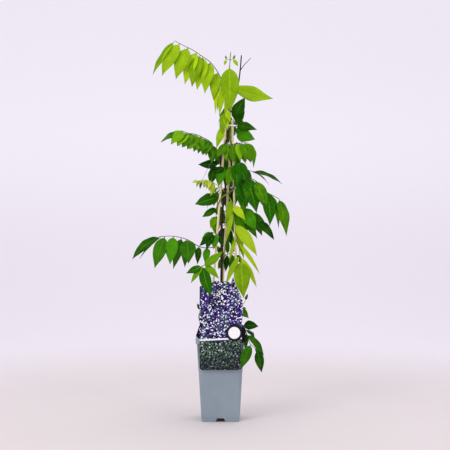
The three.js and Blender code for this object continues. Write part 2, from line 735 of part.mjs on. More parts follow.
    leaflets: [
      { at: 1, tip: [-82, -66, 359], width: 18, bow: [0, 0, -2] },
      { at: 0.97, tip: [-71, -70, 335], width: 14 },
      { at: 0.96, tip: [-22, -74, 305], width: 28, face: [0, -1, 0.1], bow: [-2, 0, -3] },
      { at: 0.88, tip: [-3, -68, 346], width: 17 },
      { at: 0.93, tip: [5, -58, 412], width: 21, bow: [3, 0, -3] },
    ],
  },
  {
    name: "frond_low_right", tone: "dark", stem: "woody", height: 226, heading: 330,
    through: [[28, -16, 230], [52, -30, 232], [63, -46, 212], [71, -59, 190], [88, -67, 176]],
    leaflets: [
      { at: 0.52, tip: [92, -34, 229], width: 24, face: [0, -0.85, 0.5] },
      { at: 0.68, tip: [105, -58, 161], width: 20, face: [0.3, -0.7, 0.6] },
      { at: 1, tip: [98, -76, 123], width: 22 },
      { at: 0.85, tip: [48, -79, 131], width: 24 },
      { at: 0.94, tip: [104, -50, 150], width: 12 },
      { at: 0.66, tip: [59, -68, 172], width: 11 },
      { at: 0.6, tip: [84, -12, 196], width: 16, face: [0.3, 0.5, 0.8] },
    ],
  },
  {
    name: "frond_small_right", tone: "mid", stem: "woody", height: 246, heading: 340, stalk: 0.8,
    through: [[24, -10, 256], [44, -24, 268], [54, -32, 280], [60, -34, 292]],
    leaflets: [
      { at: 1, tip: [66, -34, 308], width: 7 },
      { at: 0.62, tip: [68, -42, 250], width: 19 },
      { at: 0.7, tip: [60, -2, 264], width: 14, face: [0.2, 0.7, 0.6] },
    ],
  },
  {
    name: "frond_low_left", tone: "dark", stem: "woody", height: 236, heading: 185, stalk: 0.8,
    through: [[-14, -4, 244], [-28, -8, 254], [-40, -14, 261], [-49, -20, 268]],
    leaflets: [
      { at: 1, tip: [-57, -25, 284], width: 9 },
      { at: 0.75, tip: [-44, -36, 222], width: 14 },
      { at: 0.9, tip: [-52, -32, 240], width: 11 },
      { at: 0.65, tip: [-42, 22, 238], width: 14, face: [0, 0.7, 0.6] },
    ],
  },
];

// The fronds in the middle hang close behind the canes and face the front.
const CORE_FRONDS = [
  {
    name: "frond_core_high", tone: "dark", stem: "green", height: 630, heading: 80,
    through: [[34, 10, 638], [31, 21, 645], [18, 23, 648], [6, 24, 647]],
    leaflets: [
      { at: 0.6, tip: [36, 30, 598], width: 28, bow: [0, 3, 0] },
      { at: 0.8, tip: [19, 31, 598], width: 26, bow: [0, 3, 0] },
      { at: 0.95, tip: [8, 29, 608], width: 22, bow: [0, 3, 0] },
      { at: 1, tip: [-14, 28, 622], width: 20 },
    ],
  },
  {
    name: "frond_core_mid", tone: "dark", stem: "woody", height: 560, heading: 75,
    through: [[11, 20, 566], [14, 27, 571], [26, 28, 572], [38, 28, 567]],
    leaflets: [
      { at: 0.55, tip: [9, 30, 522], width: 20, bow: [0, 1, 0] },
      { at: 0.72, tip: [20, 34, 500], width: 26, bow: [0, 4, 0] },
      { at: 0.88, tip: [34, 34, 518], width: 24, bow: [0, 3, 0] },
      { at: 1, tip: [56, 30, 540], width: 20 },
    ],
  },
  {
    name: "frond_core_low", tone: "dark", stem: "woody", height: 455, heading: 80,
    through: [[4, 17, 463], [4, 29, 470], [11, 35, 473], [18, 36, 470]],
    leaflets: [
      { at: 0.5, tip: [0, 40, 434], width: 15, bow: [0, 4, 0] },
      { at: 0.62, tip: [7, 40, 418], width: 17, bow: [0, 4, 0] },
      { at: 0.82, tip: [16, 41, 410], width: 18, bow: [0, 4, 0] },
      { at: 1, tip: [27, 42, 423], width: 17, bow: [0, 4, 0] },
    ],
  },
  {
    name: "frond_core_base", tone: "dark", stem: "woody", height: 396, heading: 50,
    through: [[17, 10, 402], [28, 14, 405], [38, 16, 401]],
    leaflets: [
      { at: 0.5, tip: [12, 14, 358], width: 13 },
      { at: 0.75, tip: [25, 18, 352], width: 14 },
      { at: 0.92, tip: [37, 20, 362], width: 13 },
      { at: 1, tip: [54, 20, 378], width: 13 },
      { at: 0.5, tip: [17, 4, 446], width: 11 },
      { at: 0.8, tip: [33, 8, 448], width: 12 },
      { at: 0.25, tip: [-6, 14, 364], width: 14 },
      { at: 0.25, tip: [-14, 14, 426], width: 13 },
    ],
  },
];

// The fronds at the back grow alike: a stalk that arches back, with four pairs and an end leaflet.
const BACK_PAIRS = {
  count: 4, from: 0.45, to: 0.93, length: [46, 50], width: 22,
  sweep: [0.3, 0.5], spread: 0.6, droop: 0.9,
};
const BACK_FRONDS = [
  {
    name: "frond_back_top", tone: "mid", stem: "woody", height: 745, heading: 85, seed: 61,
    through: [[21, 20, 762], [21, 40, 772], [20, 62, 772], [19, 82, 764], [18, 100, 750]],
    tip: [17, 130, 712],
  },
  {
    name: "frond_back_high", tone: "mid", stem: "green", height: 655, heading: 85, seed: 62,
    through: [[37, 20, 672], [40, 42, 680], [42, 64, 678], [43, 84, 668]], tip: [44, 116, 634],
  },
  {
    name: "frond_back_right", tone: "dark", stem: "woody", height: 575, heading: 350, seed: 63,
    through: [[36, 24, 594], [41, 44, 600], [45, 64, 596], [47, 82, 586]], tip: [50, 112, 552],
  },
  {
    name: "frond_back_left", tone: "mid", stem: "woody", height: 545, heading: 110, seed: 64,
    through: [[2, 24, 560], [-4, 46, 568], [-9, 68, 566], [-14, 88, 556]], tip: [-18, 118, 524],
  },
  {
    name: "frond_back_low", tone: "dark", stem: "woody", height: 480, heading: 40, seed: 65,
    through: [[31, 5, 488], [46, 22, 496], [54, 44, 496], [60, 66, 488]], tip: [66, 98, 456],
  },
  {
    name: "frond_back_base", tone: "dark", stem: "woody", height: 300, heading: 140, seed: 66,
    through: [[-14, 20, 316], [-22, 40, 324], [-28, 60, 320], [-32, 78, 308]], tip: [-38, 104, 274],
  },
].map(({ tip, ...frond }) => ({
  ...frond,
  pairs: BACK_PAIRS,
  leaflets: [{ at: 1, tip, width: 24, face: [0, 0.7, 0.7] }],
}));

// ---- Label ----

// The card hangs on the rim: one panel on the pot's face, a die-cut panel above, and a tongue inside.
function cardSolid() {
  const outline = new THREE.Shape();
  outline.moveTo(-50, 133);
  outline.absarc(-44, 133, 6, Math.PI, 1.5 * Math.PI);
  outline.absarc(44, 133, 6, 1.5 * Math.PI, 2 * Math.PI);
  outline.lineTo(50, 190);
  outline.lineTo(61, 197);
  outline.lineTo(60, 226);
  outline.lineTo(50, 236);
  outline.lineTo(52, 247);
  outline.lineTo(54, 288);
  outline.lineTo(45, 314);
  outline.lineTo(36, 332);
  outline.lineTo(30, 350);
  outline.lineTo(25, 333);
  outline.quadraticCurveTo(14, 344, 2, 337);
  outline.quadraticCurveTo(-10, 345, -22, 335);
  outline.lineTo(-30, 322);
  outline.quadraticCurveTo(-40, 338, -50, 326);
  outline.lineTo(-50, 236);
  outline.lineTo(-59, 208);
  outline.lineTo(-50, 203);
  const settings = { depth: CARD_THICKNESS, bevelEnabled: false, curveSegments: 4 };
  const panel = new THREE.ExtrudeGeometry(outline, settings);
  panel.rotateX(Math.PI / 2);
  panel.translate(0, CARD_BACK, 0);

  const hook = POT_HEIGHT + RIM_CLEARANCE;
  const cardMiddle = CARD_BACK - CARD_THICKNESS / 2;
  const fold = new THREE.Shape();
  fold.moveTo(cardMiddle, hook);
  fold.lineTo(TONGUE.face, hook);
  fold.lineTo(TONGUE.face, TONGUE.foot);
  fold.lineTo(TONGUE.face + CARD_THICKNESS, TONGUE.foot);
  fold.lineTo(TONGUE.face + CARD_THICKNESS, hook + CARD_THICKNESS);
  fold.lineTo(cardMiddle, hook + CARD_THICKNESS);
  const tongueWidth = TONGUE.right - TONGUE.left;
  const tongue = new THREE.ExtrudeGeometry(fold, { depth: tongueWidth, bevelEnabled: false });
  tongue.applyMatrix4(new THREE.Matrix4().set(
    0, 0, 1, TONGUE.left,
    1, 0, 0, 0,
    0, 1, 0, 0,
    0, 0, 0, 1,
  ));

  const { x, z, radius, border } = STICKER;
  const seat = new THREE.CylinderGeometry(radius + border, radius + border, CARD_THICKNESS, 24);
  seat.translate(x, cardMiddle, z);
  return solidOf(panel).add(solidOf(tongue)).add(solidOf(seat));
}

function stickerSolid() {
  const { x, z, radius, thickness, gap } = STICKER;
  const disc = new THREE.CylinderGeometry(radius, radius, thickness, 24);
  disc.translate(x, CARD_BACK - CARD_THICKNESS - gap - thickness / 2, z);
  return solidOf(disc);
}

// ---- Assembly ----

const FINISHES = {
  pot: finish(0x8795a1, 0.45),
  soil: finish(0x2c2119, 0.95),
  bamboo: finish(0xd9c48d, 0.6),
  ring: finish(0xf0f0ee, 0.4),
  bark: finish(0x46342a, 0.85),
  green_stem: finish(0x6f8f2e, 0.6),
  card: finish(0x4b4470, 0.35),
  sticker: finish(0xf4f4f4, 0.5),
  young: finish(0x7fb012, 0.5),
  bright: finish(0x98c01c, 0.5),
  tender: finish(0xa9b83a, 0.5),
  mid: finish(0x3f8a16, 0.5),
  dark: finish(0x1f5f16, 0.5),
  bud: finish(0x6a5a6a, 0.6),
};

const caneHoles = Object.values(CANES).map((cane) => (
  caneSolid(cane, CANE_RADIUS + HOLE_CLEARANCE, CANE_FOOT - HOLE_CLEARANCE, SOIL_TOP + 20)
));
const trunkPath = new THREE.LineCurve3(new THREE.Vector3(4, 4.1, 148), new THREE.Vector3(4, 2.9, 210));
const trunkHole = tube(trunkPath, TRUNK_RADIUS + 2 * HOLE_CLEARANCE, 8, 1);

const group = new THREE.Group();
group.add(meshOf("pot", potSolid(), FINISHES.pot));
group.add(meshOf("soil", soilSolid([...caneHoles, trunkHole]), FINISHES.soil));
for (const [place, cane] of Object.entries(CANES)) {
  group.add(meshOf(`cane_${place}`, caneSolid(cane, CANE_RADIUS, CANE_FOOT, CANE_HEAD), FINISHES.bamboo));
}
group.add(meshOf("cane_ring", ringSolid(), FINISHES.ring));
const sideTwig = tube(SIDE_TWIG_CURVE, 0.9, 5, 4);
group.add(meshOf("woody_stem", stemSolid(STEMS.woody).add(sideTwig), FINISHES.bark));
group.add(meshOf("green_stem", stemSolid(STEMS.green), FINISHES.green_stem));
group.add(meshOf("label_card", cardSolid(), FINISHES.card));
group.add(meshOf("label_sticker", stickerSolid(), FINISHES.sticker));
for (const frond of [...FRONDS, ...CORE_FRONDS, ...BACK_FRONDS]) {
  group.add(meshOf(frond.name, frondSolid(frond), FINISHES[frond.tone]));
}

export default group;
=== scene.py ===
import math

import bpy
from mathutils import Matrix, Vector


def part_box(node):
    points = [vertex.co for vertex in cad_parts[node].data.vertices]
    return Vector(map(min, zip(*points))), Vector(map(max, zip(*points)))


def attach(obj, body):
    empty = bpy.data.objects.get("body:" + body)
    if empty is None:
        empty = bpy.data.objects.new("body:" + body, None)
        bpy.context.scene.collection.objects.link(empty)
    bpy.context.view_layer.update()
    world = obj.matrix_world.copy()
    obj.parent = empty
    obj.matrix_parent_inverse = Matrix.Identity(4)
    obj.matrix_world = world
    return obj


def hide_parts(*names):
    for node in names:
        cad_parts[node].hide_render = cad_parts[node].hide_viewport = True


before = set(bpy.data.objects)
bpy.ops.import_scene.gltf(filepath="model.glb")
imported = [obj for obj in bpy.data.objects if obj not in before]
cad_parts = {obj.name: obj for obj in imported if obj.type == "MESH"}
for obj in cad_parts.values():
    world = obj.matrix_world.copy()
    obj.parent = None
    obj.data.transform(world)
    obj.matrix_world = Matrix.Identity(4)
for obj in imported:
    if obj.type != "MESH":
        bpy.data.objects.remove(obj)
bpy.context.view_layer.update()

# ---- Pot ----
# A square, deep, tapered nursery pot, moulded in one shot of grey-blue polypropylene. Its rim
# turns down, a faint step runs round the wall, and the foot has a notch in each side and four
# drain holes.

MM = 0.001


def begin(*pieces):
    """Selects these pieces alone, with the first active, or nothing ahead of a new primitive."""
    if bpy.context.object and bpy.context.object.mode == "EDIT":
        bpy.ops.object.mode_set(mode="OBJECT")
    bpy.ops.object.select_all(action="DESELECT")
    for piece in pieces:
        piece.select_set(True)
    if pieces:
        bpy.context.view_layer.objects.active = pieces[0]


def settle(name):
    """The active object goes to the origin with its place in its mesh, and takes its name."""
    piece = bpy.context.object
    if piece.mode == "EDIT":
        bpy.ops.object.mode_set(mode="OBJECT")
    piece.data.transform(piece.matrix_world)
    piece.matrix_world = Matrix.Identity(4)
    piece.name = name
    piece.data.name = name
    return piece


def apply_modifier(piece, kind, **settings):
    begin(piece)
    modifier = piece.modifiers.new(kind.title(), kind)
    for setting, value in settings.items():
        setattr(modifier, setting, value)
    bpy.ops.object.modifier_apply(modifier=modifier.name)


def smooth(piece, degrees):
    begin(piece)
    bpy.ops.object.shade_smooth_by_angle(angle=math.radians(degrees))


def rise(profile, width, height):
    """Extrudes the selected face through a profile of half widths and heights, in millimetres."""
    for next_width, next_height in profile:
        bpy.ops.mesh.extrude_region_move(
            TRANSFORM_OT_translate={"value": (0, 0, (next_height - height) * MM)}
        )
        share = next_width / width
        bpy.ops.transform.resize(
            value=(share, share, 1), center_override=(0, 0, next_height * MM)
        )
        width, height = next_width, next_height


_, pot_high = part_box("pot")
POT_HEIGHT = pot_high.z / MM
RIM_HALF_WIDTH = pot_high.x / MM
RIM_DEPTH = 12.5
RIM_FOOT = POT_HEIGHT - RIM_DEPTH
FOOT_HALF_WIDTH = 45.9
FOOT_HEIGHT = 8.5
CORNER_SHARE = 0.2
WALL_LOW, WALL_HIGH = 46.6, 56.4
WALL_THICKNESS = 1.5
STEP_HEIGHT = 121
STEP_DEPTH = 0.5
FLOOR_TOP = 2.2
NOTCH_HALF_WIDTHS = (13, 8)
NOTCH_HEIGHT = 8.4
NOTCH_MIDDLE = 46
NOTCH_REACH = 8
DRAIN_RADIUS = 4
DRAIN_PLACE = 27


def wall_at(height):
    """The pot's outer half width at a height on the plain wall."""
    share = (height - FOOT_HEIGHT) / (RIM_FOOT - FOOT_HEIGHT)
    return WALL_LOW + (WALL_HIGH - WALL_LOW) * share


begin()
bpy.ops.mesh.primitive_plane_add(size=2 * (FOOT_HALF_WIDTH - WALL_THICKNESS) * MM)
bpy.ops.object.mode_set(mode="EDIT")
bpy.ops.mesh.bevel(
    offset=CORNER_SHARE * FOOT_HALF_WIDTH * MM, segments=8, affect="VERTICES"
)
bpy.ops.mesh.select_mode(type="FACE")
bpy.ops.mesh.select_all(action="SELECT")
pot_profile = [
    (FOOT_HALF_WIDTH - 0.3, 1.2),
    (FOOT_HALF_WIDTH, FOOT_HEIGHT),
    (wall_at(FOOT_HEIGHT + 0.7), FOOT_HEIGHT + 0.7),
    (wall_at(60), 60),
    (wall_at(STEP_HEIGHT), STEP_HEIGHT),
    (wall_at(STEP_HEIGHT) + STEP_DEPTH, STEP_HEIGHT + 0.6),
    (wall_at(RIM_FOOT) + STEP_DEPTH, RIM_FOOT),
    (wall_at(RIM_FOOT) + 0.6, POT_HEIGHT - 1.6),
    (RIM_HALF_WIDTH - 1.6, POT_HEIGHT - 1.6),
    (RIM_HALF_WIDTH - 1.9, RIM_FOOT),
    (RIM_HALF_WIDTH - 0.5, RIM_FOOT),
    (RIM_HALF_WIDTH, POT_HEIGHT - 0.8),
    (RIM_HALF_WIDTH - 0.8, POT_HEIGHT),
    (wall_at(RIM_FOOT) - 0.9, POT_HEIGHT),
    (wall_at(RIM_FOOT) - WALL_THICKNESS, RIM_FOOT),
    (wall_at(FOOT_HEIGHT) - WALL_THICKNESS, FLOOR_TOP),
]
rise(pot_profile, FOOT_HALF_WIDTH - WALL_THICKNESS, 0)
bpy.ops.mesh.select_all(action="SELECT")
bpy.ops.mesh.normals_make_consistent(inside=False)
pot = settle("pot_moulded")
# The first face is the underside, which looks down.
if pot.data.polygons[0].normal.z > 0:
    pot.data.flip_normals()

for quarter in range(4):
    turn = Matrix.Rotation(quarter * math.pi / 2, 4, "Z")
    begin()
    bpy.ops.mesh.primitive_cube_add(size=1)
    notch = settle("notch")
    for corner in notch.data.vertices:
        half = NOTCH_HALF_WIDTHS[0 if corner.co.z < 0 else 1]
        corner.co.x = math.copysign(half * MM, corner.co.x)
        corner.co.y = (-NOTCH_MIDDLE + math.copysign(NOTCH_REACH, corner.co.y)) * MM
        corner.co.z = (-1 if corner.co.z < 0 else NOTCH_HEIGHT) * MM
    notch.data.transform(turn)
    apply_modifier(pot, "BOOLEAN", object=notch, operation="DIFFERENCE")
    bpy.data.objects.remove(notch)
    begin()
    bpy.ops.mesh.primitive_cylinder_add(
        vertices=24, radius=DRAIN_RADIUS * MM, depth=8 * MM,
        location=(DRAIN_PLACE * MM, DRAIN_PLACE * MM, 0),
    )
    drain = settle("drain")
    drain.data.transform(turn)
    apply_modifier(pot, "BOOLEAN", object=drain, operation="DIFFERENCE")
    bpy.data.objects.remove(drain)
apply_modifier(pot, "BEVEL", width=0.35 * MM, segments=2, limit_method="ANGLE")
smooth(pot, 40)


def add_node(tree, kind, settings, sockets, output=0):
    """A shader node: its settings come first, then the values or links of its sockets."""
    node = tree.nodes.new(kind)
    for setting, value in settings.items():
        setattr(node, setting, value)
    for name, value in sockets.items():
        if isinstance(value, Value):
            tree.links.new(value.socket, node.inputs[name])
        else:
            node.inputs[name].default_value = value
    return Value(node.outputs[output])


class Value:
    """A shader socket that stands in a Python expression."""

    def __init__(self, socket):
        self.socket = socket
        self.tree = socket.id_data

    def math(self, operation, *others, flipped=False):
        terms = [self, *others]
        sockets = dict(enumerate(reversed(terms) if flipped else terms))
        return add_node(self.tree, "ShaderNodeMath", {"operation": operation}, sockets)

    def __add__(self, other):
        return self.math("ADD", other)

    def __sub__(self, other):
        return self.math("SUBTRACT", other)

    def __rsub__(self, other):
        return self.math("SUBTRACT", other, flipped=True)

    def __mul__(self, other):
        return self.math("MULTIPLY", other)

    __radd__ = __add__
    __rmul__ = __mul__

    def between(self, low, high):
        """A smooth step from 0 at low to 1 at high, which may also be the lower of the two."""
        settings = {"interpolation_type": "SMOOTHSTEP"}
        sockets = {"Value": self, "From Min": low, "From Max": high}
        return add_node(self.tree, "ShaderNodeMapRange", settings, sockets)


def paint(red, green, blue):
    """A display colour as the shader's linear one."""
    shares = [channel / 255 for channel in (red, green, blue)]
    linear = [s / 12.92 if s < 0.04045 else ((s + 0.055) / 1.055) ** 2.4 for s in shares]
    return (*linear, 1)


class Finish:
    """A material that is put together node by node."""

    def __init__(self, name, **constants):
        self.material = bpy.data.materials.new(name)
        self.material.use_nodes = True
        self.tree = self.material.node_tree
        self.shader = self.tree.nodes["Principled BSDF"]
        for socket, value in constants.items():
            self.shader.inputs[socket.replace("_", " ")].default_value = value

    def node(self, kind, settings, sockets, output=0):
        return add_node(self.tree, kind, settings, sockets, output)

    def place(self, scale=(1, 1, 1), turn=(0, 0, 0)):
        at = self.node("ShaderNodeTexCoord", {}, {}, "Object")
        sockets = {"Vector": at, "Scale": scale, "Rotation": turn}
        return self.node("ShaderNodeMapping", {}, sockets)

    def along(self, axis, kind="Object"):
        """One axis of the place on the piece, in metres, or of its UV map."""
        at = self.node("ShaderNodeTexCoord", {}, {}, kind)
        return self.node("ShaderNodeSeparateXYZ", {}, {"Vector": at}, axis)

    def noise(self, place, scale, detail=3, rough=0.55):
        sockets = {"Vector": place, "Scale": scale, "Detail": detail, "Roughness": rough}
        return self.node("ShaderNodeTexNoise", {}, sockets)

    def mark(self, name):
        return self.node("ShaderNodeAttribute", {"attribute_name": name}, {}, "Fac")

    def mix(self, share, low, high):
        """Sockets 0, 6 and 7 of a Mix node are its factor and its two colours."""
        sockets = {0: share, 6: low, 7: high}
        return self.node("ShaderNodeMix", {"data_type": "RGBA"}, sockets, 2)

    def bump(self, height, depth):
        sockets = {"Height": height, "Distance": depth, "Strength": 1}
        self.wear(Normal=self.node("ShaderNodeBump", {}, sockets))

    def wear(self, **varying):
        for socket, value in varying.items():
            self.tree.links.new(value.socket, self.shader.inputs[socket.replace("_", " ")])


def pot_finish():
    """Dust lies low on the wall, and the inner wall is darkened down to the soil as painted shade."""
    plastic = Finish("grey_blue_plastic", Specular_IOR_Level=0.4)
    cloud = plastic.noise(plastic.place(), 14, 4)
    dust = plastic.noise(plastic.place((1, 1, 0.25)), 90, 5, 0.7)
    height = plastic.along("Z")
    body = plastic.mix(cloud.between(0.3, 0.7), paint(134, 148, 159), paint(143, 157, 168))
    dusty = dust.between(0.55, 0.85) * height.between(70 * MM, 0) * 0.5
    color = plastic.mix(dusty, body, paint(104, 98, 90))
    side = plastic.along("X")
    deep = plastic.along("Y")
    out = (side * side).math("MAXIMUM", deep * deep)
    # Painted shade: the inside of the wall is darkened towards the rim, where shade falls in the pot.
    inside = out.between((55.86 * MM) ** 2, (53.85 * MM) ** 2)
    color = plastic.mix(inside * height.between(120 * MM, 190 * MM), color, paint(92, 103, 113))
    plastic.wear(Base_Color=color, Roughness=0.36 + 0.16 * dust)
    grain = plastic.noise(plastic.place(), 1400, 2)
    plastic.bump(grain * 0.3 + cloud, 0.0002)
    return plastic.material


pot.data.materials.append(pot_finish())
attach(pot, "root")
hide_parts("pot")

# ---- Soil ----
# Moist, dark potting soil of peat and bark, filled to a thumb's width below the rim and watered in,
# with loose chips of bark on top.

SOIL_TOP = 184
SOIL_EDGE = SOIL_TOP - 7
SOIL_FLOOR = 2.6
SOIL_CROWN = 9
WALL_CLEARANCE = 1.85
SOIL_HALF_WIDTH = 52
CHIP_COUNT = 150
CHIP_SPREAD = 49
CHIP_BED = SOIL_TOP - 7.5


def draws(seed):
    """Repeatable draws between -1 and 1."""
    state = seed
    while True:
        state = state * 16807 % 2147483647
        yield state / 2147483647 * 2 - 1


def crown_at(x, y):
    """How far the soil rises above its edge, from shares of the way out from the middle."""
    return SOIL_CROWN * (1 - max(abs(x), abs(y)) ** 3)


def add_object(name, data):
    made = bpy.data.objects.new(name, data)
    bpy.context.scene.collection.objects.link(made)
    return made


begin()
bpy.ops.mesh.primitive_grid_add(x_subdivisions=56, y_subdivisions=56, size=2)
bpy.ops.object.mode_set(mode="EDIT")
bpy.ops.mesh.select_all(action="SELECT")
bpy.ops.mesh.extrude_region_move(TRANSFORM_OT_translate={"value": (0, 0, -1)})
bpy.ops.mesh.select_all(action="SELECT")
bpy.ops.mesh.normals_make_consistent(inside=False)
soil = settle("soil_filling")
for point in soil.data.vertices:
    x, y, z = point.co
    on_top = z > -0.5
    height = SOIL_EDGE if on_top else SOIL_FLOOR
    pull = 1 - 0.06 * x * x * y * y
    reach = (wall_at(height) - WALL_CLEARANCE) * pull
    crown = crown_at(x, y) if on_top else 0
    point.co = (x * reach * MM, y * reach * MM, (height + crown) * MM)
crumble = bpy.data.textures.new("crumble", "CLOUDS")
crumble.noise_scale = 0.007
crumble.noise_depth = 3
apply_modifier(
    soil, "DISPLACE", texture=crumble, strength=3.4 * MM, mid_level=0.6, direction="Z"
)

begin()
bpy.ops.mesh.primitive_ico_sphere_add(subdivisions=1, radius=1)
chip = settle("chip")
chips = []
place = draws(5521)
for index in range(CHIP_COUNT):
    copy = add_object(f"chip_{index}", chip.data.copy())
    x, y = CHIP_SPREAD * next(place), CHIP_SPREAD * next(place)
    size = 1.5 + 1.1 * next(place)
    lean = Matrix.Rotation(3 * next(place), 4, Vector((next(place), next(place), 0.4)))
    squash = Matrix.Diagonal((size * 1.7, size, size * 0.55, 1))
    height = CHIP_BED + crown_at(x / SOIL_HALF_WIDTH, y / SOIL_HALF_WIDTH)
    copy.data.transform(Matrix.Translation((x, y, height)) @ lean @ squash)
    copy.data.transform(Matrix.Scale(MM, 4))
    chips.append(copy)
begin(*chips)
bpy.ops.object.join()
bark_chips = settle("soil_bark_chips")
bpy.data.objects.remove(chip)


def soil_finish(name, low, high):
    earth = Finish(name, Specular_IOR_Level=0.2)
    grain = earth.noise(earth.place(), 420, 6, 0.75)
    brown = earth.mix(grain.between(0.35, 0.7), low, high)
    earth.wear(Base_Color=brown, Roughness=0.8 + 0.2 * grain)
    earth.bump(grain, 0.0015)
    return earth.material


for piece, finish in (
    (soil, soil_finish("dark_peat", paint(24, 17, 12), paint(62, 46, 34))),
    (bark_chips, soil_finish("bark_chip", paint(50, 33, 22), paint(108, 78, 54))),
):
    piece.data.materials.append(finish)
    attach(piece, "root")
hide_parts("soil")

# ---- Canes ----
# Three dried bamboo canes, six millimetres thick and pushed deep into the soil as a narrow tripod.
# Each has a swollen joint every hand's breadth and a sawn, hollow head.

# Two points of each cane's middle line, and how far up from its foot its first joint is.
CANES = {
    "left": ((-29, -22, 185), (13.5, -2, 730), 12),
    "right": ((42.5, -14, 185), (28.5, -7, 730), 61),
    "back": ((-3, 38, 185), (27.5, 9.5, 730), 95),
}
CANE_RADIUS = 3
CANE_FOOT = 70
CANE_HEAD = 731
CANE_SKIN = CANE_RADIUS - 0.16
CANE_HOLLOW = 1.3
HEAD_CLEARANCE = 12
JOINT_SPACING = 118
JOINT_MARK = 3
JOINT_SWELLING = (
    (-7, 0), (-1.6, 0.16), (-0.7, 0.42), (0, 0.1), (0.9, 0.34), (2.4, 0.08), (8, 0),
)


def cane_at(place, height):
    foot, head, _ = CANES[place]
    share = (height - foot[2]) / (head[2] - foot[2])
    return Vector(foot).lerp(Vector(head), share)


def bamboo_finish():
    bamboo = Finish("dried_bamboo", Specular_IOR_Level=0.45)
    fibre = bamboo.noise(bamboo.place((1, 1, 0.03)), 1500, 3)
    stain = bamboo.noise(bamboo.place((1, 1, 0.4)), 60, 4)
    joint = bamboo.mark("joint")
    tan = bamboo.mix(fibre.between(0.3, 0.7), paint(214, 190, 130), paint(252, 242, 196))
    tan = bamboo.mix(stain.between(0.5, 0.75) * 0.5, tan, paint(160, 122, 66))
    tan = bamboo.mix(joint.between(0.2, 1) * 0.7, tan, paint(112, 80, 46))
    bamboo.wear(Base_Color=tan, Roughness=0.34 + 0.3 * stain)
    bamboo.bump(fibre, 0.0003)
    return bamboo.material


bamboo = bamboo_finish()
for place, (_, _, first_joint) in CANES.items():
    start, end = cane_at(place, CANE_FOOT), cane_at(place, CANE_HEAD)
    length = (end - start).length
    profile = []
    marks = []
    joint = first_joint
    while joint < length - HEAD_CLEARANCE:
        for offset, swell in JOINT_SWELLING:
            profile.append((CANE_SKIN + swell, joint + offset))
        marks.append(joint)
        joint += JOINT_SPACING
    profile += [(CANE_SKIN, length - 0.3), (CANE_RADIUS - 0.4, length)]
    profile += [(CANE_HOLLOW, length), (CANE_HOLLOW - 0.1, length - 6)]
    begin()
    bpy.ops.mesh.primitive_circle_add(vertices=16, radius=CANE_SKIN * MM, fill_type="NGON")
    bpy.ops.object.mode_set(mode="EDIT")
    bpy.ops.mesh.select_mode(type="FACE")
    bpy.ops.mesh.select_all(action="SELECT")
    rise(profile, CANE_SKIN, 0)
    bpy.ops.mesh.select_all(action="SELECT")
    bpy.ops.mesh.normals_make_consistent(inside=False)
    cane = settle(f"bamboo_{place}")
    joint_mark = cane.data.attributes.new("joint", "FLOAT", "POINT")
    for point in cane.data.vertices:
        near = min(abs(point.co.z / MM - mark) for mark in marks)
        joint_mark.data[point.index].value = max(0, 1 - near / JOINT_MARK)
    aim = (end - start).to_track_quat("Z", "Y").to_matrix().to_4x4()
    cane.data.transform(Matrix.Translation(start * MM) @ aim)
    smooth(cane, 50)
    cane.data.materials.append(bamboo)
    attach(cane, "root")
    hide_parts(f"cane_{place}")

# ---- Ring ----
# A loop of white plastic, slipped over the cane heads to gather them, with the small clasp that
# closes it at the back.

RING_MIDDLE = Vector((23, 0, 717))
RING_RADIUS = 15.9
RING_HEIGHT = 3
RING_THICKNESS = 1.4
CLASP_SIZE = (5, 2.6, 4.4)


def slab(name, middle, size):
    """A plain block of sheet, with its middle and size in millimetres."""
    begin()
    bpy.ops.mesh.primitive_cube_add(size=1, location=[part * MM for part in middle])
    bpy.ops.transform.resize(value=[part * MM for part in size])
    return settle(name)


begin()
bpy.ops.mesh.primitive_cylinder_add(
    vertices=64, radius=RING_RADIUS * MM, depth=RING_HEIGHT * MM, end_fill_type="NOTHING",
    location=RING_MIDDLE * MM,
)
ring = settle("gathering_ring")
apply_modifier(ring, "SOLIDIFY", thickness=RING_THICKNESS * MM, offset=-1)
clasp = slab("clasp", RING_MIDDLE + Vector((0, RING_RADIUS + 0.5, 0)), CLASP_SIZE)
apply_modifier(clasp, "BEVEL", width=0.6 * MM, segments=3)
begin(ring, clasp)
bpy.ops.object.join()
apply_modifier(ring, "BEVEL", width=0.3 * MM, segments=2, limit_method="ANGLE")
smooth(ring, 40)


def ring_finish():
    white = Finish("white_plastic", Specular_IOR_Level=0.5)
    scuff = white.noise(white.place(), 260, 4)
    color = white.mix(scuff.between(0.4, 0.8), paint(246, 246, 244), paint(222, 221, 216))
    white.wear(Base_Color=color, Roughness=0.25 + 0.3 * scuff)
    return white.material


ring.data.materials.append(ring_finish())
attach(ring, "root")
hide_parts("cane_ring")

# ---- Stems ----
# The woody stem rises from the soil, winds round the left cane and ends in a cut twig with a thin
# side twig. The green stem leaves it, winds over to the right cane and ends in the growing tip.

WINDING_GAP = 0.8
WOODY_RADIUS = 2.4
GREEN_RADIUS = 1.7
KNOT_SWELLING = 0.28
KNOT_REACH = 4


def curve_point(points, share):
    """A point of the smooth curve through points, eased by the root of their distances."""
    last = len(points) - 1
    place = min(max(share, 0), 1) * last
    index = min(int(place), last - 1)
    weight = place - index
    p1, p2 = points[index], points[index + 1]
    p0 = points[index - 1] if index > 0 else 2 * p1 - p2
    p3 = points[index + 2] if index + 2 <= last else 2 * p2 - p1
    before, here, after = (math.sqrt((b - a).length) for a, b in ((p0, p1), (p1, p2), (p2, p3)))
    leave = ((p1 - p0) / before - (p2 - p0) / (before + here) + (p2 - p1) / here) * here
    arrive = ((p2 - p1) / here - (p3 - p1) / (here + after) + (p3 - p2) / after) * here
    bend = -3 * p1 + 3 * p2 - 2 * leave - arrive
    twist = 2 * p1 - 2 * p2 + leave + arrive
    return p1 + leave * weight + bend * weight**2 + twist * weight**3


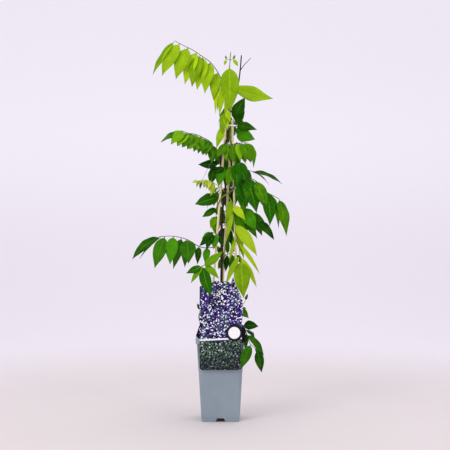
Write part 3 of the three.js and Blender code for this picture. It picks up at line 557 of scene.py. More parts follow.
def curve_tangent(points, share):
    low, high = max(share - 1e-4, 0), min(share + 1e-4, 1)
    return (curve_point(points, high) - curve_point(points, low)).normalized()


def share_at(points, height):
    """The share of a rising curve at which it reaches a height."""
    low, high = 0, 1
    for _ in range(30):
        middle = (low + high) / 2
        if curve_point(points, middle).z < height:
            low = middle
        else:
            high = middle
    return low


def windings(place, stem_radius, low, high):
    """Points of a stem that winds round a cane, an eighth of a turn apart or less, from one
    (height, angle) to another."""
    count = math.ceil(abs(high[1] - low[1]) / 45)
    reach = CANE_RADIUS + stem_radius + WINDING_GAP
    points = []
    for index in range(count + 1):
        share = index / count
        height = low[0] + (high[0] - low[0]) * share
        angle = math.radians(low[1] + (high[1] - low[1]) * share)
        middle = cane_at(place, height)
        points.append(Vector((
            middle.x + reach * math.cos(angle), middle.y + reach * math.sin(angle), height
        )))
    return points


def vectors(*points):
    return [Vector(point) for point in points]


# Each stem's middle line, and its radius up to each height.
STEMS = {
    "woody": {
        "curve": [
            *vectors(
                (4, 4, 150), (4, 3, 200), (2, 2, 260), (2, 0, 330),
                (3, 2, 400), (2, 3, 460), (6, 2, 520), (12, 1, 566),
            ),
            *windings("left", WOODY_RADIUS, (600, 60), (690, 360)),
            *vectors((18.5, 2.5, 718), (27, 4, 768), (43, 0, 818), (48, 0, 854), (51, 0, 890)),
        ],
        "radii": [(262, 4.2), (470, 3.2), (740, WOODY_RADIUS), (None, 1.6)],
    },
    "green": {
        "curve": [
            *windings("left", GREEN_RADIUS, (500, 60), (540, 315)),
            *windings("right", GREEN_RADIUS, (562, 250), (690, 540)),
            *vectors((24, -1.5, 718), (20, -2.5, 765), (21, -1, 815), (22, 0, 859), (25, 0, 898)),
        ],
        "radii": [(800, GREEN_RADIUS), (None, 1.1)],
    },
}


def radius_at(stem, height):
    return next(radius for high, radius in STEMS[stem]["radii"] if high is None or height < high)


def swept(name, points, radii, sides):
    """A round bar of growing wood along points in millimetres, drawn as a curve and made a mesh."""
    path = bpy.data.curves.new(name, "CURVE")
    path.dimensions = "3D"
    path.bevel_depth = MM
    path.bevel_resolution = sides // 2 - 1
    path.use_fill_caps = True
    line = path.splines.new("POLY")
    line.points.add(len(points) - 1)
    for spot, point, radius in zip(line.points, points, radii):
        spot.co = (*(point * MM), 1)
        spot.radius = radius
    begin(add_object(name, path))
    bpy.ops.object.convert(target="MESH")
    return settle(name)


def soft_radius(stem, height):
    """The radius fades over 30 mm where one run of the stem passes into the next."""
    spread = [radius_at(stem, height + offset) for offset in (-15, -9, -3, 3, 9, 15)]
    return sum(spread) / len(spread)


def stem_piece(name, stem, count, knots):
    curve = STEMS[stem]["curve"]
    points = [curve_point(curve, index / (count - 1)) for index in range(count)]
    radii = []
    for index, point in enumerate(points):
        near = [math.exp(-((point.z - knot) / KNOT_REACH) ** 2) for knot in knots]
        swelling = KNOT_SWELLING * sum(near)
        taper = 1 if index < count - 2 else 0.82
        radii.append(soft_radius(stem, point.z) * (1 + swelling) * taper)
    return swept(name, points, radii, 10)


WOODY_KNOTS = (226, 240, 300, 396, 414, 440, 480, 505, 530, 590, 672, 745)
GREEN_KNOTS = (548, 578, 590, 655, 690, 757, 792, 848)
TWIG = vectors((47.6, 0, 852), (58, 0, 866), (74, 0, 883))
woody = stem_piece("stem_woody", "woody", 260, WOODY_KNOTS)
twig_line = [curve_point(TWIG, index / 12) for index in range(13)]
twig = swept("twig", twig_line, [1.1 - 0.04 * index for index in range(13)], 8)
begin(woody, twig)
bpy.ops.object.join()
green = stem_piece("stem_green", "green", 240, GREEN_KNOTS)


def bark_finish():
    bark = Finish("brown_bark", Specular_IOR_Level=0.25)
    ridge = bark.noise(bark.place((1, 1, 0.12)), 900, 4)
    fleck = bark.noise(bark.place(), 330, 5)
    brown = bark.mix(ridge.between(0.3, 0.7), paint(28, 17, 12), paint(74, 48, 34))
    brown = bark.mix(fleck.between(0.62, 0.75) * 0.7, brown, paint(140, 116, 92))
    bark.wear(Base_Color=brown, Roughness=0.6 + 0.3 * fleck)
    bark.bump(ridge + 0.5 * fleck, 0.0008)
    return bark.material


def green_finish():
    skin = Finish("green_skin", Specular_IOR_Level=0.4)
    streak = skin.noise(skin.place((1, 1, 0.1)), 700, 3)
    height = skin.along("Z")
    low = skin.mix(streak.between(0.35, 0.7), paint(88, 98, 38), paint(126, 140, 52))
    high = skin.mix(streak.between(0.35, 0.7), paint(112, 96, 62), paint(150, 152, 72))
    color = skin.mix(height.between(780 * MM, 860 * MM), low, high)
    skin.wear(Base_Color=color, Roughness=0.42 + 0.2 * streak)
    skin.bump(streak, 0.0002)
    return skin.material


for piece, node, finish, slot in (
    (woody, "woody_stem", bark_finish(), "bark"),
    (green, "green_stem", green_finish(), "green_stem"),
):
    smooth(piece, 60)
    piece.data.materials.append(finish)
    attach(piece, "root")
    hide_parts(node)

# ---- Fronds ----
# Each frond is one pinnate leaf: a thin stalk with leaflets that narrow to a short stalk of their
# own, fold at the midrib, wave at the edge and are drawn out to a point. Young ones are yellow-green,
# partly their own colour and partly painted light shining through them, older ones deep green.

UP = Vector((0, 0, 1))
FRONT = (0, -0.9, 0.4)
STALK_RADIUS = 1.25
STALK_STEPS = 7
SEATING_GAP = 0.3
SQUARE_RUN = 4
BLADE_FOLD = 0.2
BLADE_BELLY = 0.16
BLADE_ARCH = 0.07
WAVE_HEIGHT = 0.1
PAIR_OFFSET = 0.014
LEAF_THICKNESS = 0.4
LEAF_EDGE = (
    (0, 0.05), (0.05, 0.06), (0.1, 0.4), (0.19, 0.75), (0.31, 0.95), (0.45, 1),
    (0.6, 0.87), (0.74, 0.6), (0.87, 0.29), (0.96, 0.08), (1, 0.02),
)
LEAF_STEPS = 18
ACROSS = (-1, -0.7, -0.36, 0, 0.36, 0.7, 1)
BLADE, STALK = 0, 1

# A frond leaves its stem at a height and a compass heading, and its stalk goes through the points
# given. A listed leaflet has its place on the stalk, tip and width, then the way that it faces and
# its bow where they aren't the usual ones. Pairs are drawn evenly along part of the stalk.
FRONDS = [
    {
        "name": "frond_top_left", "tone": "young", "stem": "green", "height": 792, "heading": 205,
        "through": [
            (1, -12, 832), (-23, -18, 868), (-48, -22, 886),
            (-68, -24, 899), (-97, -25, 913), (-111, -25, 921),
        ],
        "leaflets": [
            (1, (-168, -27, 840), 25, (-0.55, -0.65, 0.5), (3, 0, -4)),
            (0.87, (-142, -38, 836), 35, FRONT, (-2, 0, 0)),
            (0.76, (-108, -40, 826), 35, FRONT, (-2, 0, 0)),
            (0.64, (-87, -32, 815), 30, FRONT, (-2, 0, 0)),
            (0.58, (-69, -40, 807), 32, FRONT, (-2, 0, 0)),
            (0.5, (-57, -34, 801), 30, FRONT, (-2, 0, 0)),
            (0.43, (-38, -40, 792), 31, FRONT, (-2, 0, 0)),
            (0.34, (-17, -34, 776), 25, FRONT, (-2, 0, 0)),
            (0.88, (-136, 6, 854), 27, (-0.2, 0.8, 0.5)),
            (0.77, (-104, 8, 845), 28, (-0.2, 0.8, 0.5)),
            (0.65, (-82, 9, 835), 28, (-0.2, 0.8, 0.5)),
            (0.54, (-62, 10, 827), 27, (-0.2, 0.8, 0.5)),
            (0.44, (-40, 10, 818), 25, (-0.2, 0.8, 0.5)),
            (0.2, (-9, -26, 754), 13, (-0.5, -0.9, 0)),
            (0.29, (-13, -34, 744), 14, (-0.5, -0.9, 0)),
        ],
    },
    {
        "name": "frond_top_front", "tone": "young", "stem": "green", "height": 797, "heading": 290,
        "through": [(33, -25, 816), (25, -55, 841), (21, -75, 852)],
        "leaflets": [
            (1, (23, -79, 744), 45, (0, -1, 0.1)),
            (0.42, (127, -22, 782), 43, (0, -0.85, 0.5), (0, 0, -10)),
            (0.75, (-5, -62, 733), 21, (-0.4, -0.9, 0.2)),
            (0.5, (9, -46, 736), 18, (-0.3, -0.9, 0.2)),
        ],
    },
    {
        "name": "young_leaf_left", "tone": "young", "stem": "green", "height": 879,
        "heading": 180, "stalk": 0.6,
        "through": [(14, 0, 879)],
        "leaflets": [
            (1, (12, 0, 890), 5),
            (0.97, (9, 0, 865), 7),
        ],
    },
    {
        "name": "young_leaf_right", "tone": "young", "stem": "green", "height": 879,
        "heading": 0, "stalk": 0.6,
        "through": [(31, 0, 879)],
        "leaflets": [
            (1, (36, 0, 891), 6),
            (0.97, (43, 0, 863), 10),
        ],
    },
    {
        "name": "frond_upper_left", "tone": "young", "stem": "green", "height": 757, "heading": 230,
        "through": [(10, -14, 752), (8, -20, 734), (7, -24, 716)],
        "leaflets": [
            (0.55, (4, -36, 694), 18),
            (1, (-11, -28, 660), 20, (-0.4, -0.9, 0), (3, 0, 0)),
            (0.7, (18, -34, 704), 12, (0.3, -0.9, 0.1)),
            (0.38, (23, -28, 722), 15, (0.2, -0.9, 0.1)),
        ],
    },
    {
        "name": "frond_upper_right", "tone": "dark", "stem": "green", "height": 690, "heading": 70,
        "through": [(37, 13, 699), (38, 20, 712), (36, 22, 724), (32, 22, 733)],
        "leaflets": [
            (1, (60, 20, 790), 31),
            (0.82, (60, 14, 755), 20, (0.2, -0.9, 0.3)),
            (0.7, (89, 10, 709), 25, (0, -0.9, 0.4)),
            (0.44, (84, 2, 685), 36, (0, -0.9, 0.4), (0, 0, -4)),
            (0.96, (17, 29, 674), 24),
            (0.6, (52, 64, 704), 22, (-0.2, 0.8, 0.5)),
            (0.84, (60, 60, 730), 20, (-0.2, 0.8, 0.5)),
        ],
    },
    {
        "name": "frond_second_left", "tone": "mid", "stem": "woody", "height": 645,
        "heading": 195, "seed": 23,
        "through": [
            (-26, -8, 678), (-40, -10, 686), (-60, -12, 695), (-79, -14, 698), (-96, -15, 704),
        ],
        "pairs": {
            "count": 8, "from": 0.27, "to": 0.95, "length": (42, 44), "width": 26,
            "sweep": (0.2, 0.7), "spread": 0.45, "droop": 0.95,
        },
        "leaflets": [
            (1, (-147, -17, 677), 22, (-0.4, -0.6, 0.7), (0, 0, -4)),
            (0.25, (-16, -22, 638), 19),
        ],
    },
    {
        "name": "frond_center", "tone": "mid", "stem": "woody", "height": 672,
        "heading": 285, "seed": 31,
        "through": [(25, -25, 669), (40, -27, 672), (52, -27, 673), (64, -27, 674)],
        "pairs": {
            "count": 5, "from": 0.3, "to": 0.92, "length": (46, 50), "width": 21,
            "sweep": (0.05, 0.35), "spread": 0.3, "droop": 1.1,
        },
        "leaflets": [
            (1, (80, -30, 613), 20, (0.5, -0.8, 0.3), (3, 0, 4)),
            (0.3, (-11, -30, 637), 22),
        ],
    },
    {
        "name": "frond_left_dark", "tone": "dark", "stem": "woody", "height": 590, "heading": 120,
        "through": [(4, 12, 610), (-4, 18, 624), (-12, 22, 622), (-18, 24, 612)],
        "leaflets": [
            (0.6, (-56, 30, 625), 24, (0, -0.9, 0.4), (0, 0, -3)),
            (0.92, (-25, 28, 574), 22),
            (1, (-20, 34, 593), 17),
            (0.4, (-6, 26, 572), 22),
            (0.45, (-9, 58, 580), 20, (-0.2, 0.8, 0.5)),
            (0.85, (-20, 60, 588), 20, (-0.2, 0.8, 0.5)),
        ],
    },
    {
        "name": "frond_inner_left", "tone": "dark", "stem": "woody", "height": 608, "heading": 350,
        "through": [(16, -7, 610), (17, -18, 614), (8, -24, 614)],
        "leaflets": [
            (0.98, (-16, -27, 598), 17),
            (0.92, (-6, -31, 566), 19),
            (0.72, (8, -30, 574), 13),
        ],
    },
    {
        "name": "hanging_shoot", "tone": "bud", "stem": "woody", "height": 634,
        "heading": 180, "stalk": 0.6,
        "through": [(-10, -12, 640), (-26, -24, 620), (-38, -32, 595), (-46, -34, 579)],
        "leaflets": [(1, (-50, -35, 560), 5)],
    },
    {
        "name": "frond_young_left", "tone": "tender", "stem": "woody", "height": 556,
        "heading": 235, "seed": 41, "stalk": 0.8,
        "through": [
            (5, -16, 564), (-10, -19, 572), (-20, -21, 579),
            (-30, -22, 583), (-43, -23, 583), (-55, -23, 581),
        ],
        "pairs": {
            "count": 5, "from": 0.56, "to": 0.95, "length": (27, 19), "width": 7,
            "sweep": (0.2, 0.5), "spread": 0.5, "droop": 0.9,
        },
        "leaflets": [
            (1, (-69, -23, 577), 8),
            (0.5, (-24, -26, 544), 11),
        ],
    },
    {
        "name": "frond_left_mid", "tone": "mid", "stem": "woody", "height": 530, "heading": 140,
        "through": [(-1, 14, 548), (-6, 20, 540), (-9, 23, 520), (-11, 24, 500), (-12, 24, 486)],
        "leaflets": [
            (0.45, (-64, 20, 526), 34, (0, -0.85, 0.5), (0, 0, -3)),
            (0.7, (-46, 24, 494), 18, FRONT, (0, 0, -2)),
            (0.88, (-25, 24, 466), 18),
            (1, (-12, 27, 450), 20),
            (0.62, (10, 15, 474), 20),
            (0.7, (2, 66, 492), 24, (0, 0.8, 0.5)),
            (0.88, (-4, 60, 466), 22, (0, 0.8, 0.5)),
        ],
    },
    {
        "name": "frond_center_front", "tone": "mid", "stem": "green", "height": 578, "heading": 280,
        "through": [(33, -26, 604), (36, -30, 620), (40, -34, 628)],
        "leaflets": [
            (1, (63, -38, 577), 30),
            (0.78, (14, -34, 568), 26),
            (0.9, (40, -46, 564), 26),
        ],
    },
    {
        "name": "frond_right_high", "tone": "dark", "stem": "green", "height": 622, "heading": 20,
        "through": [(50, 4, 626), (62, 14, 612), (78, 18, 606)],
        "leaflets": [
            (1, (153, 14, 576), 22, (0.3, -0.5, 0.85)),
            (0.92, (122, 30, 574), 12, (0.3, -0.35, 0.9)),
            (0.72, (76, 44, 568), 18, (0, 0.8, 0.4)),
        ],
    },
    {
        "name": "frond_right_mid", "tone": "mid", "stem": "green", "height": 590, "heading": 330,
        "through": [
            (48, -19, 589), (66, -24, 589), (84, -26, 582),
            (99, -27, 567), (113, -27, 553), (128, -27, 545), (141, -27, 538),
        ],
        "leaflets": [
            (0.22, (65, -42, 518), 34),
            (0.34, (88, -42, 504), 41, (0.2, -0.95, 0.3)),
            (0.5, (112, -44, 508), 30, (0.2, -0.9, 0.3)),
            (0.7, (120, -38, 473), 34, (0.2, -0.9, 0.2), (3, 0, 0)),
            (0.86, (141, -34, 466), 14, (0.4, -0.8, 0.2)),
            (1, (162, -28, 448), 30, (0.4, -0.8, 0.3), (-2, 0, 1)),
            (0.26, (57, -37, 500), 32),
            (0.26, (52, 12, 516), 22, (0, 0.9, 0.4)),
            (0.37, (84, 14, 524), 32, (0, 0.9, 0.4)),
            (0.52, (112, 8, 512), 30, (0, 0.9, 0.4)),
        ],
    },
    {
        "name": "frond_right_low", "tone": "dark", "stem": "woody", "height": 505, "heading": 300,
        "through": [
            (18, -16, 512), (34, -21, 515), (47, -21, 516),
            (62, -20, 511), (77, -20, 498), (89, -20, 484),
        ],
        "leaflets": [
            (1, (131, -20, 438), 24, (0.3, -0.8, 0.5)),
            (0.6, (86, -36, 462), 36),
            (0.48, (91, -10, 441), 26),
            (0.42, (57, -32, 454), 28),
            (0.78, (114, -12, 470), 17),
            (0.7, (72, 18, 462), 26, (0, 0.8, 0.4)),
            (0.9, (102, 10, 448), 22, (0, 0.8, 0.4)),
        ],
    },
    {
        "name": "frond_bright", "tone": "bright", "stem": "green", "height": 548, "heading": 280,
        "through": [
            (27, -26, 532), (30, -36, 505), (34, -46, 476),
            (40, -54, 443), (45, -60, 414), (48, -64, 390),
        ],
        "leaflets": [
            (1, (55, -72, 300), 38, (0, -1, 0.15)),
            (0.57, (89, -54, 401), 28),
            (0.76, (95, -52, 356), 11, (0.2, -0.9, 0.2)),
            (0.95, (88, -60, 325), 15, (0.2, -0.9, 0.2)),
            (0.93, (12, -72, 331), 15, (-0.3, -0.9, 0.2)),
            (0.7, (20, -56, 385), 9, (-0.3, -0.9, 0.2)),
            (0.35, (60, -44, 486), 20),
            (0.25, (18, -42, 455), 18),
            (0.42, (14, -54, 436), 12),
            (0.6, (57, -44, 391), 15),
        ],
    },
    {
        "name": "frond_lower_left", "tone": "dark", "stem": "woody", "height": 414, "heading": 180,
        "through": [
            (-14, -4, 419), (-38, -9, 418), (-57, -14, 424), (-74, -18, 435),
            (-91, -20, 442), (-118, -22, 447), (-147, -22, 446),
        ],
        "leaflets": [
            (1, (-215, -24, 391), 25, (-0.3, -0.9, 0.4), (-3, 0, 1)),
            (0.95, (-159, -40, 370), 33),
            (0.86, (-122, -42, 379), 31),
            (0.68, (-77, -42, 382), 40),
            (0.47, (-56, -30, 379), 16),
            (0.34, (-38, -28, 382), 18),
            (0.98, (-199, 2, 391), 9, (0, 0.3, 1)),
            (0.77, (-116, 4, 367), 24, (0, 0.9, 0.3)),
            (0.7, (-88, 8, 370), 24, (0, 0.9, 0.3)),
        ],
    },
    {
        "name": "frond_left_small", "tone": "dark", "stem": "woody", "height": 440, "heading": 245,
        "through": [(-2, -17, 446), (-12, -22, 453), (-22, -23, 457)],
        "leaflets": [
            (1, (-52, -24, 423), 17, FRONT, (2, 0, -3)),
            (0.9, (-35, -31, 414), 18),
            (0.72, (-17, -33, 415), 18),
            (0.5, (3, -33, 424), 14),
            (0.97, (-46, -14, 440), 12),
            (0.9, (-42, 4, 444), 14, (-0.2, 0.6, 0.7)),
        ],
    },
    {
        "name": "frond_star", "tone": "mid", "stem": "woody", "height": 398, "heading": 250,
        "through": [(-2, -22, 396), (-16, -38, 387), (-33, -50, 380), (-45, -57, 375)],
        "leaflets": [
            (1, (-82, -66, 359), 18, FRONT, (0, 0, -2)),
            (0.97, (-71, -70, 335), 14),
            (0.96, (-22, -74, 305), 28, (0, -1, 0.1), (-2, 0, -3)),
            (0.88, (-3, -68, 346), 17),
            (0.93, (5, -58, 412), 21, FRONT, (3, 0, -3)),
        ],
    },
    {
        "name": "frond_low_right", "tone": "dark", "stem": "woody", "height": 226, "heading": 330,
        "through": [(28, -16, 230), (52, -30, 232), (63, -46, 212), (71, -59, 190), (88, -67, 176)],
        "leaflets": [
            (0.52, (92, -34, 229), 24, (0, -0.85, 0.5)),
            (0.68, (105, -58, 161), 20, (0.3, -0.7, 0.6)),
            (1, (98, -76, 123), 22),
            (0.85, (48, -79, 131), 24),
            (0.94, (104, -50, 150), 12),
            (0.66, (59, -68, 172), 11),
            (0.6, (84, -12, 196), 16, (0.3, 0.5, 0.8)),
        ],
    },
    {
        "name": "frond_small_right", "tone": "mid", "stem": "woody", "height": 246,
        "heading": 340, "stalk": 0.8,
        "through": [(24, -10, 256), (44, -24, 268), (54, -32, 280), (60, -34, 292)],
        "leaflets": [
            (1, (66, -34, 308), 7),
            (0.62, (68, -42, 250), 19),
            (0.7, (60, -2, 264), 14, (0.2, 0.7, 0.6)),
        ],
    },
    {
        "name": "frond_low_left", "tone": "dark", "stem": "woody", "height": 236,
        "heading": 185, "stalk": 0.8,
        "through": [(-14, -4, 244), (-28, -8, 254), (-40, -14, 261), (-49, -20, 268)],
        "leaflets": [
            (1, (-57, -25, 284), 9),
            (0.75, (-44, -36, 222), 14),
            (0.9, (-52, -32, 240), 11),
            (0.65, (-42, 22, 238), 14, (0, 0.7, 0.6)),
        ],
    },
    {
        "name": "frond_core_high", "tone": "dark", "stem": "green", "height": 630, "heading": 80,
        "through": [(34, 10, 638), (31, 21, 645), (18, 23, 648), (6, 24, 647)],
        "leaflets": [
            (0.6, (36, 30, 598), 28, FRONT, (0, 3, 0)),
            (0.8, (19, 31, 598), 26, FRONT, (0, 3, 0)),
            (0.95, (8, 29, 608), 22, FRONT, (0, 3, 0)),
            (1, (-14, 28, 622), 20),
        ],
    },
    {
        "name": "frond_core_mid", "tone": "dark", "stem": "woody", "height": 560, "heading": 75,
        "through": [(11, 20, 566), (14, 27, 571), (26, 28, 572), (38, 28, 567)],
        "leaflets": [
            (0.55, (9, 30, 522), 20, FRONT, (0, 1, 0)),
            (0.72, (20, 34, 500), 26, FRONT, (0, 4, 0)),
            (0.88, (34, 34, 518), 24, FRONT, (0, 3, 0)),
            (1, (56, 30, 540), 20),
        ],
    },
    {
        "name": "frond_core_low", "tone": "dark", "stem": "woody", "height": 455, "heading": 80,
        "through": [(4, 17, 463), (4, 29, 470), (11, 35, 473), (18, 36, 470)],
        "leaflets": [
            (0.5, (0, 40, 434), 15, FRONT, (0, 4, 0)),
            (0.62, (7, 40, 418), 17, FRONT, (0, 4, 0)),
            (0.82, (16, 41, 410), 18, FRONT, (0, 4, 0)),
            (1, (27, 42, 423), 17, FRONT, (0, 4, 0)),
        ],
    },
    {
        "name": "frond_core_base", "tone": "dark", "stem": "woody", "height": 396, "heading": 50,
        "through": [(17, 10, 402), (28, 14, 405), (38, 16, 401)],
        "leaflets": [
            (0.5, (12, 14, 358), 13),
            (0.75, (25, 18, 352), 14),
            (0.92, (37, 20, 362), 13),
            (1, (54, 20, 378), 13),
            (0.5, (17, 4, 446), 11),
            (0.8, (33, 8, 448), 12),
            (0.25, (-6, 14, 364), 14),
            (0.25, (-14, 14, 426), 13),
        ],
    },
]
BACK_PAIRS = {
    "count": 4, "from": 0.45, "to": 0.93, "length": (46, 50), "width": 22,
    "sweep": (0.3, 0.5), "spread": 0.6, "droop": 0.9,
}
BACK_FRONDS = [
    {
        "name": "frond_back_top", "tone": "mid", "stem": "woody", "height": 745,
        "heading": 85, "seed": 61,
        "through": [(21, 20, 762), (21, 40, 772), (20, 62, 772), (19, 82, 764), (18, 100, 750)],
        "tip": (17, 130, 712),
    },
    {
        "name": "frond_back_high", "tone": "mid", "stem": "green", "height": 655,
        "heading": 85, "seed": 62,
        "through": [(37, 20, 672), (40, 42, 680), (42, 64, 678), (43, 84, 668)],
        "tip": (44, 116, 634),
    },
    {
        "name": "frond_back_right", "tone": "dark", "stem": "woody", "height": 575,
        "heading": 350, "seed": 63,
        "through": [(36, 24, 594), (41, 44, 600), (45, 64, 596), (47, 82, 586)],
        "tip": (50, 112, 552),
    },
    {
        "name": "frond_back_left", "tone": "mid", "stem": "woody", "height": 545,
        "heading": 110, "seed": 64,
        "through": [(2, 24, 560), (-4, 46, 568), (-9, 68, 566), (-14, 88, 556)],
        "tip": (-18, 118, 524),
    },
    {
        "name": "frond_back_low", "tone": "dark", "stem": "woody", "height": 480,
        "heading": 40, "seed": 65,
        "through": [(31, 5, 488), (46, 22, 496), (54, 44, 496), (60, 66, 488)],
        "tip": (66, 98, 456),
    },
    {
        "name": "frond_back_base", "tone": "dark", "stem": "woody", "height": 300,
        "heading": 140, "seed": 66,
        "through": [(-14, 20, 316), (-22, 40, 324), (-28, 60, 320), (-32, 78, 308)],
        "tip": (-38, 104, 274),
    },
]
for frond in BACK_FRONDS:
    end = (1, frond["tip"], 24, (0, 0.7, 0.7))
    FRONDS.append({**frond, "pairs": BACK_PAIRS, "leaflets": [end]})


def stalk_curve(frond):
    """The stalk leaves its stem square to it and goes through the frond's own points."""
    curve = STEMS[frond["stem"]]["curve"]
    share = share_at(curve, frond["height"])
    start = curve_point(curve, share)
    tangent = curve_tangent(curve, share)
    heading = math.radians(frond["heading"])
    away = Vector((math.cos(heading), math.sin(heading), 0))
    away = (away - tangent * away.dot(tangent)).normalized()
    reach = radius_at(frond["stem"], frond["height"]) + SEATING_GAP
    square = [start + away * reach, start + away * (reach + SQUARE_RUN)]
    return [*square, *map(Vector, frond["through"])]


def pair_leaflets(curve, pairs, chance):
    """Each leaflet of a pair leaves the stalk sideways, leans to the tip and droops."""
    leaflets = []
    for index in range(pairs["count"]):
        share = index / (pairs["count"] - 1)
        for side in (-1, 1):
            at = pairs["from"] + (pairs["to"] - pairs["from"]) * share + side * PAIR_OFFSET
            root, tangent = curve_point(curve, at), curve_tangent(curve, at)
            sideways = tangent.cross(UP).normalized() * side
            reach = pairs["spread"] * (1 + 0.2 * next(chance))
            sweep = pairs["sweep"][0] + (pairs["sweep"][1] - pairs["sweep"][0]) * share
            lean = sweep + 0.06 * next(chance)
            direction = (tangent * lean + sideways * reach - UP * pairs["droop"]).normalized()
            length = pairs["length"][0] + (pairs["length"][1] - pairs["length"][0]) * share
            size = length * (1 + 0.06 * next(chance))
            face = sideways * pairs["droop"] + UP * (reach + 0.2) + tangent * 0.35 * next(chance)
            width = pairs["width"] * size / pairs["length"][1]
            leaflets.append((root, root + direction * size, width, face, Vector()))
    return leaflets


def leaflets_of(frond, curve):
    pairs = frond.get("pairs")
    leaflets = pair_leaflets(curve, pairs, draws(frond["seed"])) if pairs else []
    for listed in frond.get("leaflets", []):
        at, tip, width, face, bow = listed + (FRONT, (0, 0, 0))[len(listed) - 3:]
        leaflets.append((curve_point(curve, at), Vector(tip), width, Vector(face), Vector(bow)))
    return leaflets


LEAF_OUTLINE = [
    curve_point([Vector((share, fullness, 0)) for share, fullness in LEAF_EDGE], step / LEAF_STEPS)
    for step in range(LEAF_STEPS + 1)
]


class Growth:
    """The points and faces of one frond, with what its finish reads: place on the leaf and tone."""

    def __init__(self):
        self.points, self.places, self.tones, self.backs = [], [], [], []
        self.faces, self.kinds = [], []

    def point(self, position, place, tone, back):
        self.points.append(position * MM)
        self.places.append(place)
        self.tones.append(tone)
        self.backs.append(back)
        return len(self.points) - 1

    def face(self, corners, kind):
        self.faces.append(corners)
        self.kinds.append(kind)

    def leaflet(self, leaf, shade, chance):
        """A blade with an upper and a lower side, closed all round its edge."""
        root, tip, width, face, bow = leaf
        along = tip - root
        length = along.length
        along.normalize()
        up = (face - along * face.dot(along)).normalized()
        across = along.cross(up)
        # Each leaf's tone spreads at random about its frond's shift, which is partly painted shade.
        tone = 0.55 + 0.62 * next(chance) + shade
        waves, phase = 2.2 + 0.6 * next(chance), 3 * next(chance)
        curl = 0.035 + 0.03 * next(chance)
        layers = []
        for level in (1, -1):
            rows = []
            for share, fullness, _ in LEAF_OUTLINE:
                half = width / 2 * fullness
                middle = root.lerp(tip, share) + bow * (4 * share * (1 - share))
                middle += up * length * (4 * BLADE_ARCH * share * (1 - share) - curl * share**4)
                row = []
                for side in ACROSS:
                    reach = abs(side)
                    lift = half * (BLADE_FOLD * reach + BLADE_BELLY * reach * (1 - reach))
                    turn = 2 * math.pi * waves * share + phase + 1.4 * side
                    wave = WAVE_HEIGHT * half * math.sin(turn) * reach**2
                    height = lift + wave + level * LEAF_THICKNESS / 2
                    spot = middle + across * (side * half) + up * height
                    place = (share, 0.5 + 0.5 * side)
                    row.append(self.point(spot, place, tone, 0 if level > 0 else 1))
                rows.append(row)
            layers.append(rows)
        top, under = layers
        last = len(ACROSS) - 1
        for near, far, near_back, far_back in zip(top, top[1:], under, under[1:]):
            for left in range(last):
                right = left + 1
                self.face((near[right], far[right], far[left], near[left]), BLADE)
                self.face((near_back[left], far_back[left], far_back[right], near_back[right]), BLADE)
            self.face((near[0], far[0], far_back[0], near_back[0]), BLADE)
            self.face((near_back[last], far_back[last], far[last], near[last]), BLADE)
        self.face([*top[0], *reversed(under[0])], BLADE)
        self.face([*under[-1], *reversed(top[-1])], BLADE)

    def stalk(self, line, radii, sides=7):
        """A round bar whose rings are carried along the line without twisting."""
        tangents = [(b - a).normalized() for a, b in zip(line, line[1:])]
        tangents.append(tangents[-1])
        side = tangents[0].orthogonal().normalized()
        rings = []
        for spot, tangent, radius in zip(line, tangents, radii):
            side = (side - tangent * side.dot(tangent)).normalized()
            other = tangent.cross(side)
            ring = []
            for index in range(sides):
                angle = 2 * math.pi * index / sides
                rim = spot + (side * math.cos(angle) + other * math.sin(angle)) * radius
                ring.append(self.point(rim, (0, 0.5), 0.5, 0))
            rings.append(ring)
        for low, high in zip(rings, rings[1:]):
            for index in range(sides):
                after = (index + 1) % sides
                self.face((low[index], low[after], high[after], high[index]), STALK)
        self.face(rings[0][::-1], STALK)
        self.face(rings[-1], STALK)

    def piece(self, name):
        mesh = bpy.data.meshes.new(name)
        mesh.from_pydata(self.points, [], self.faces)
        mesh.polygons.foreach_set("material_index", self.kinds)
        layer = mesh.uv_layers.new(name="leaf")
        for loop in mesh.loops:
            layer.data[loop.index].uv = self.places[loop.vertex_index]
        for mark, values in (("tone", self.tones), ("back", self.backs)):
            mesh.attributes.new(mark, "FLOAT", "POINT").data.foreach_set("value", values)
        mesh.polygons.foreach_set("use_smooth", [True] * len(mesh.polygons))
        return add_object(name, mesh)


def leaf_finish(name, low, high, vein, under):
    """Side veins run forward from a pale midrib, and the blade puckers a little between them."""
    leaf = Finish(name, Specular_IOR_Level=0.04)
    along = leaf.along("X", "UV")
    side = (leaf.along("Y", "UV") - 0.5).math("ABSOLUTE") * 2
    cloud = leaf.noise(leaf.place(), 48, 3)
    fine = leaf.noise(leaf.place(), 900, 2)
    tone = (leaf.mark("tone") * 0.75 + cloud * 0.9 - 0.35).math("MINIMUM", 1).math("MAXIMUM", 0)
    rib = side.between(0.11, 0.02)
    fan = (along * 9 - side * 1.5).math("FRACT") - 0.5
    veins = fan.math("ABSOLUTE").between(0.36, 0.5) * side.between(1, 0.7)
    color = leaf.mix(tone, low, high)
    color = leaf.mix(veins * 0.12 + rib * 0.3, color, vein)
    color = leaf.mix(leaf.mark("back") * 0.75, color, under)
    leaf.wear(Base_Color=color, Roughness=0.46 + 0.2 * cloud)
    leaf.bump(fine * 0.15 - veins * 0.6 - rib * 0.8, 0.0006)
    return leaf.material


def stalk_finish(name, low, high):
    stalk = Finish(name, Specular_IOR_Level=0.35)
    streak = stalk.noise(stalk.place(), 240, 3)
    stalk.wear(Base_Color=stalk.mix(streak, low, high), Roughness=0.45 + 0.2 * streak)
    return stalk.material
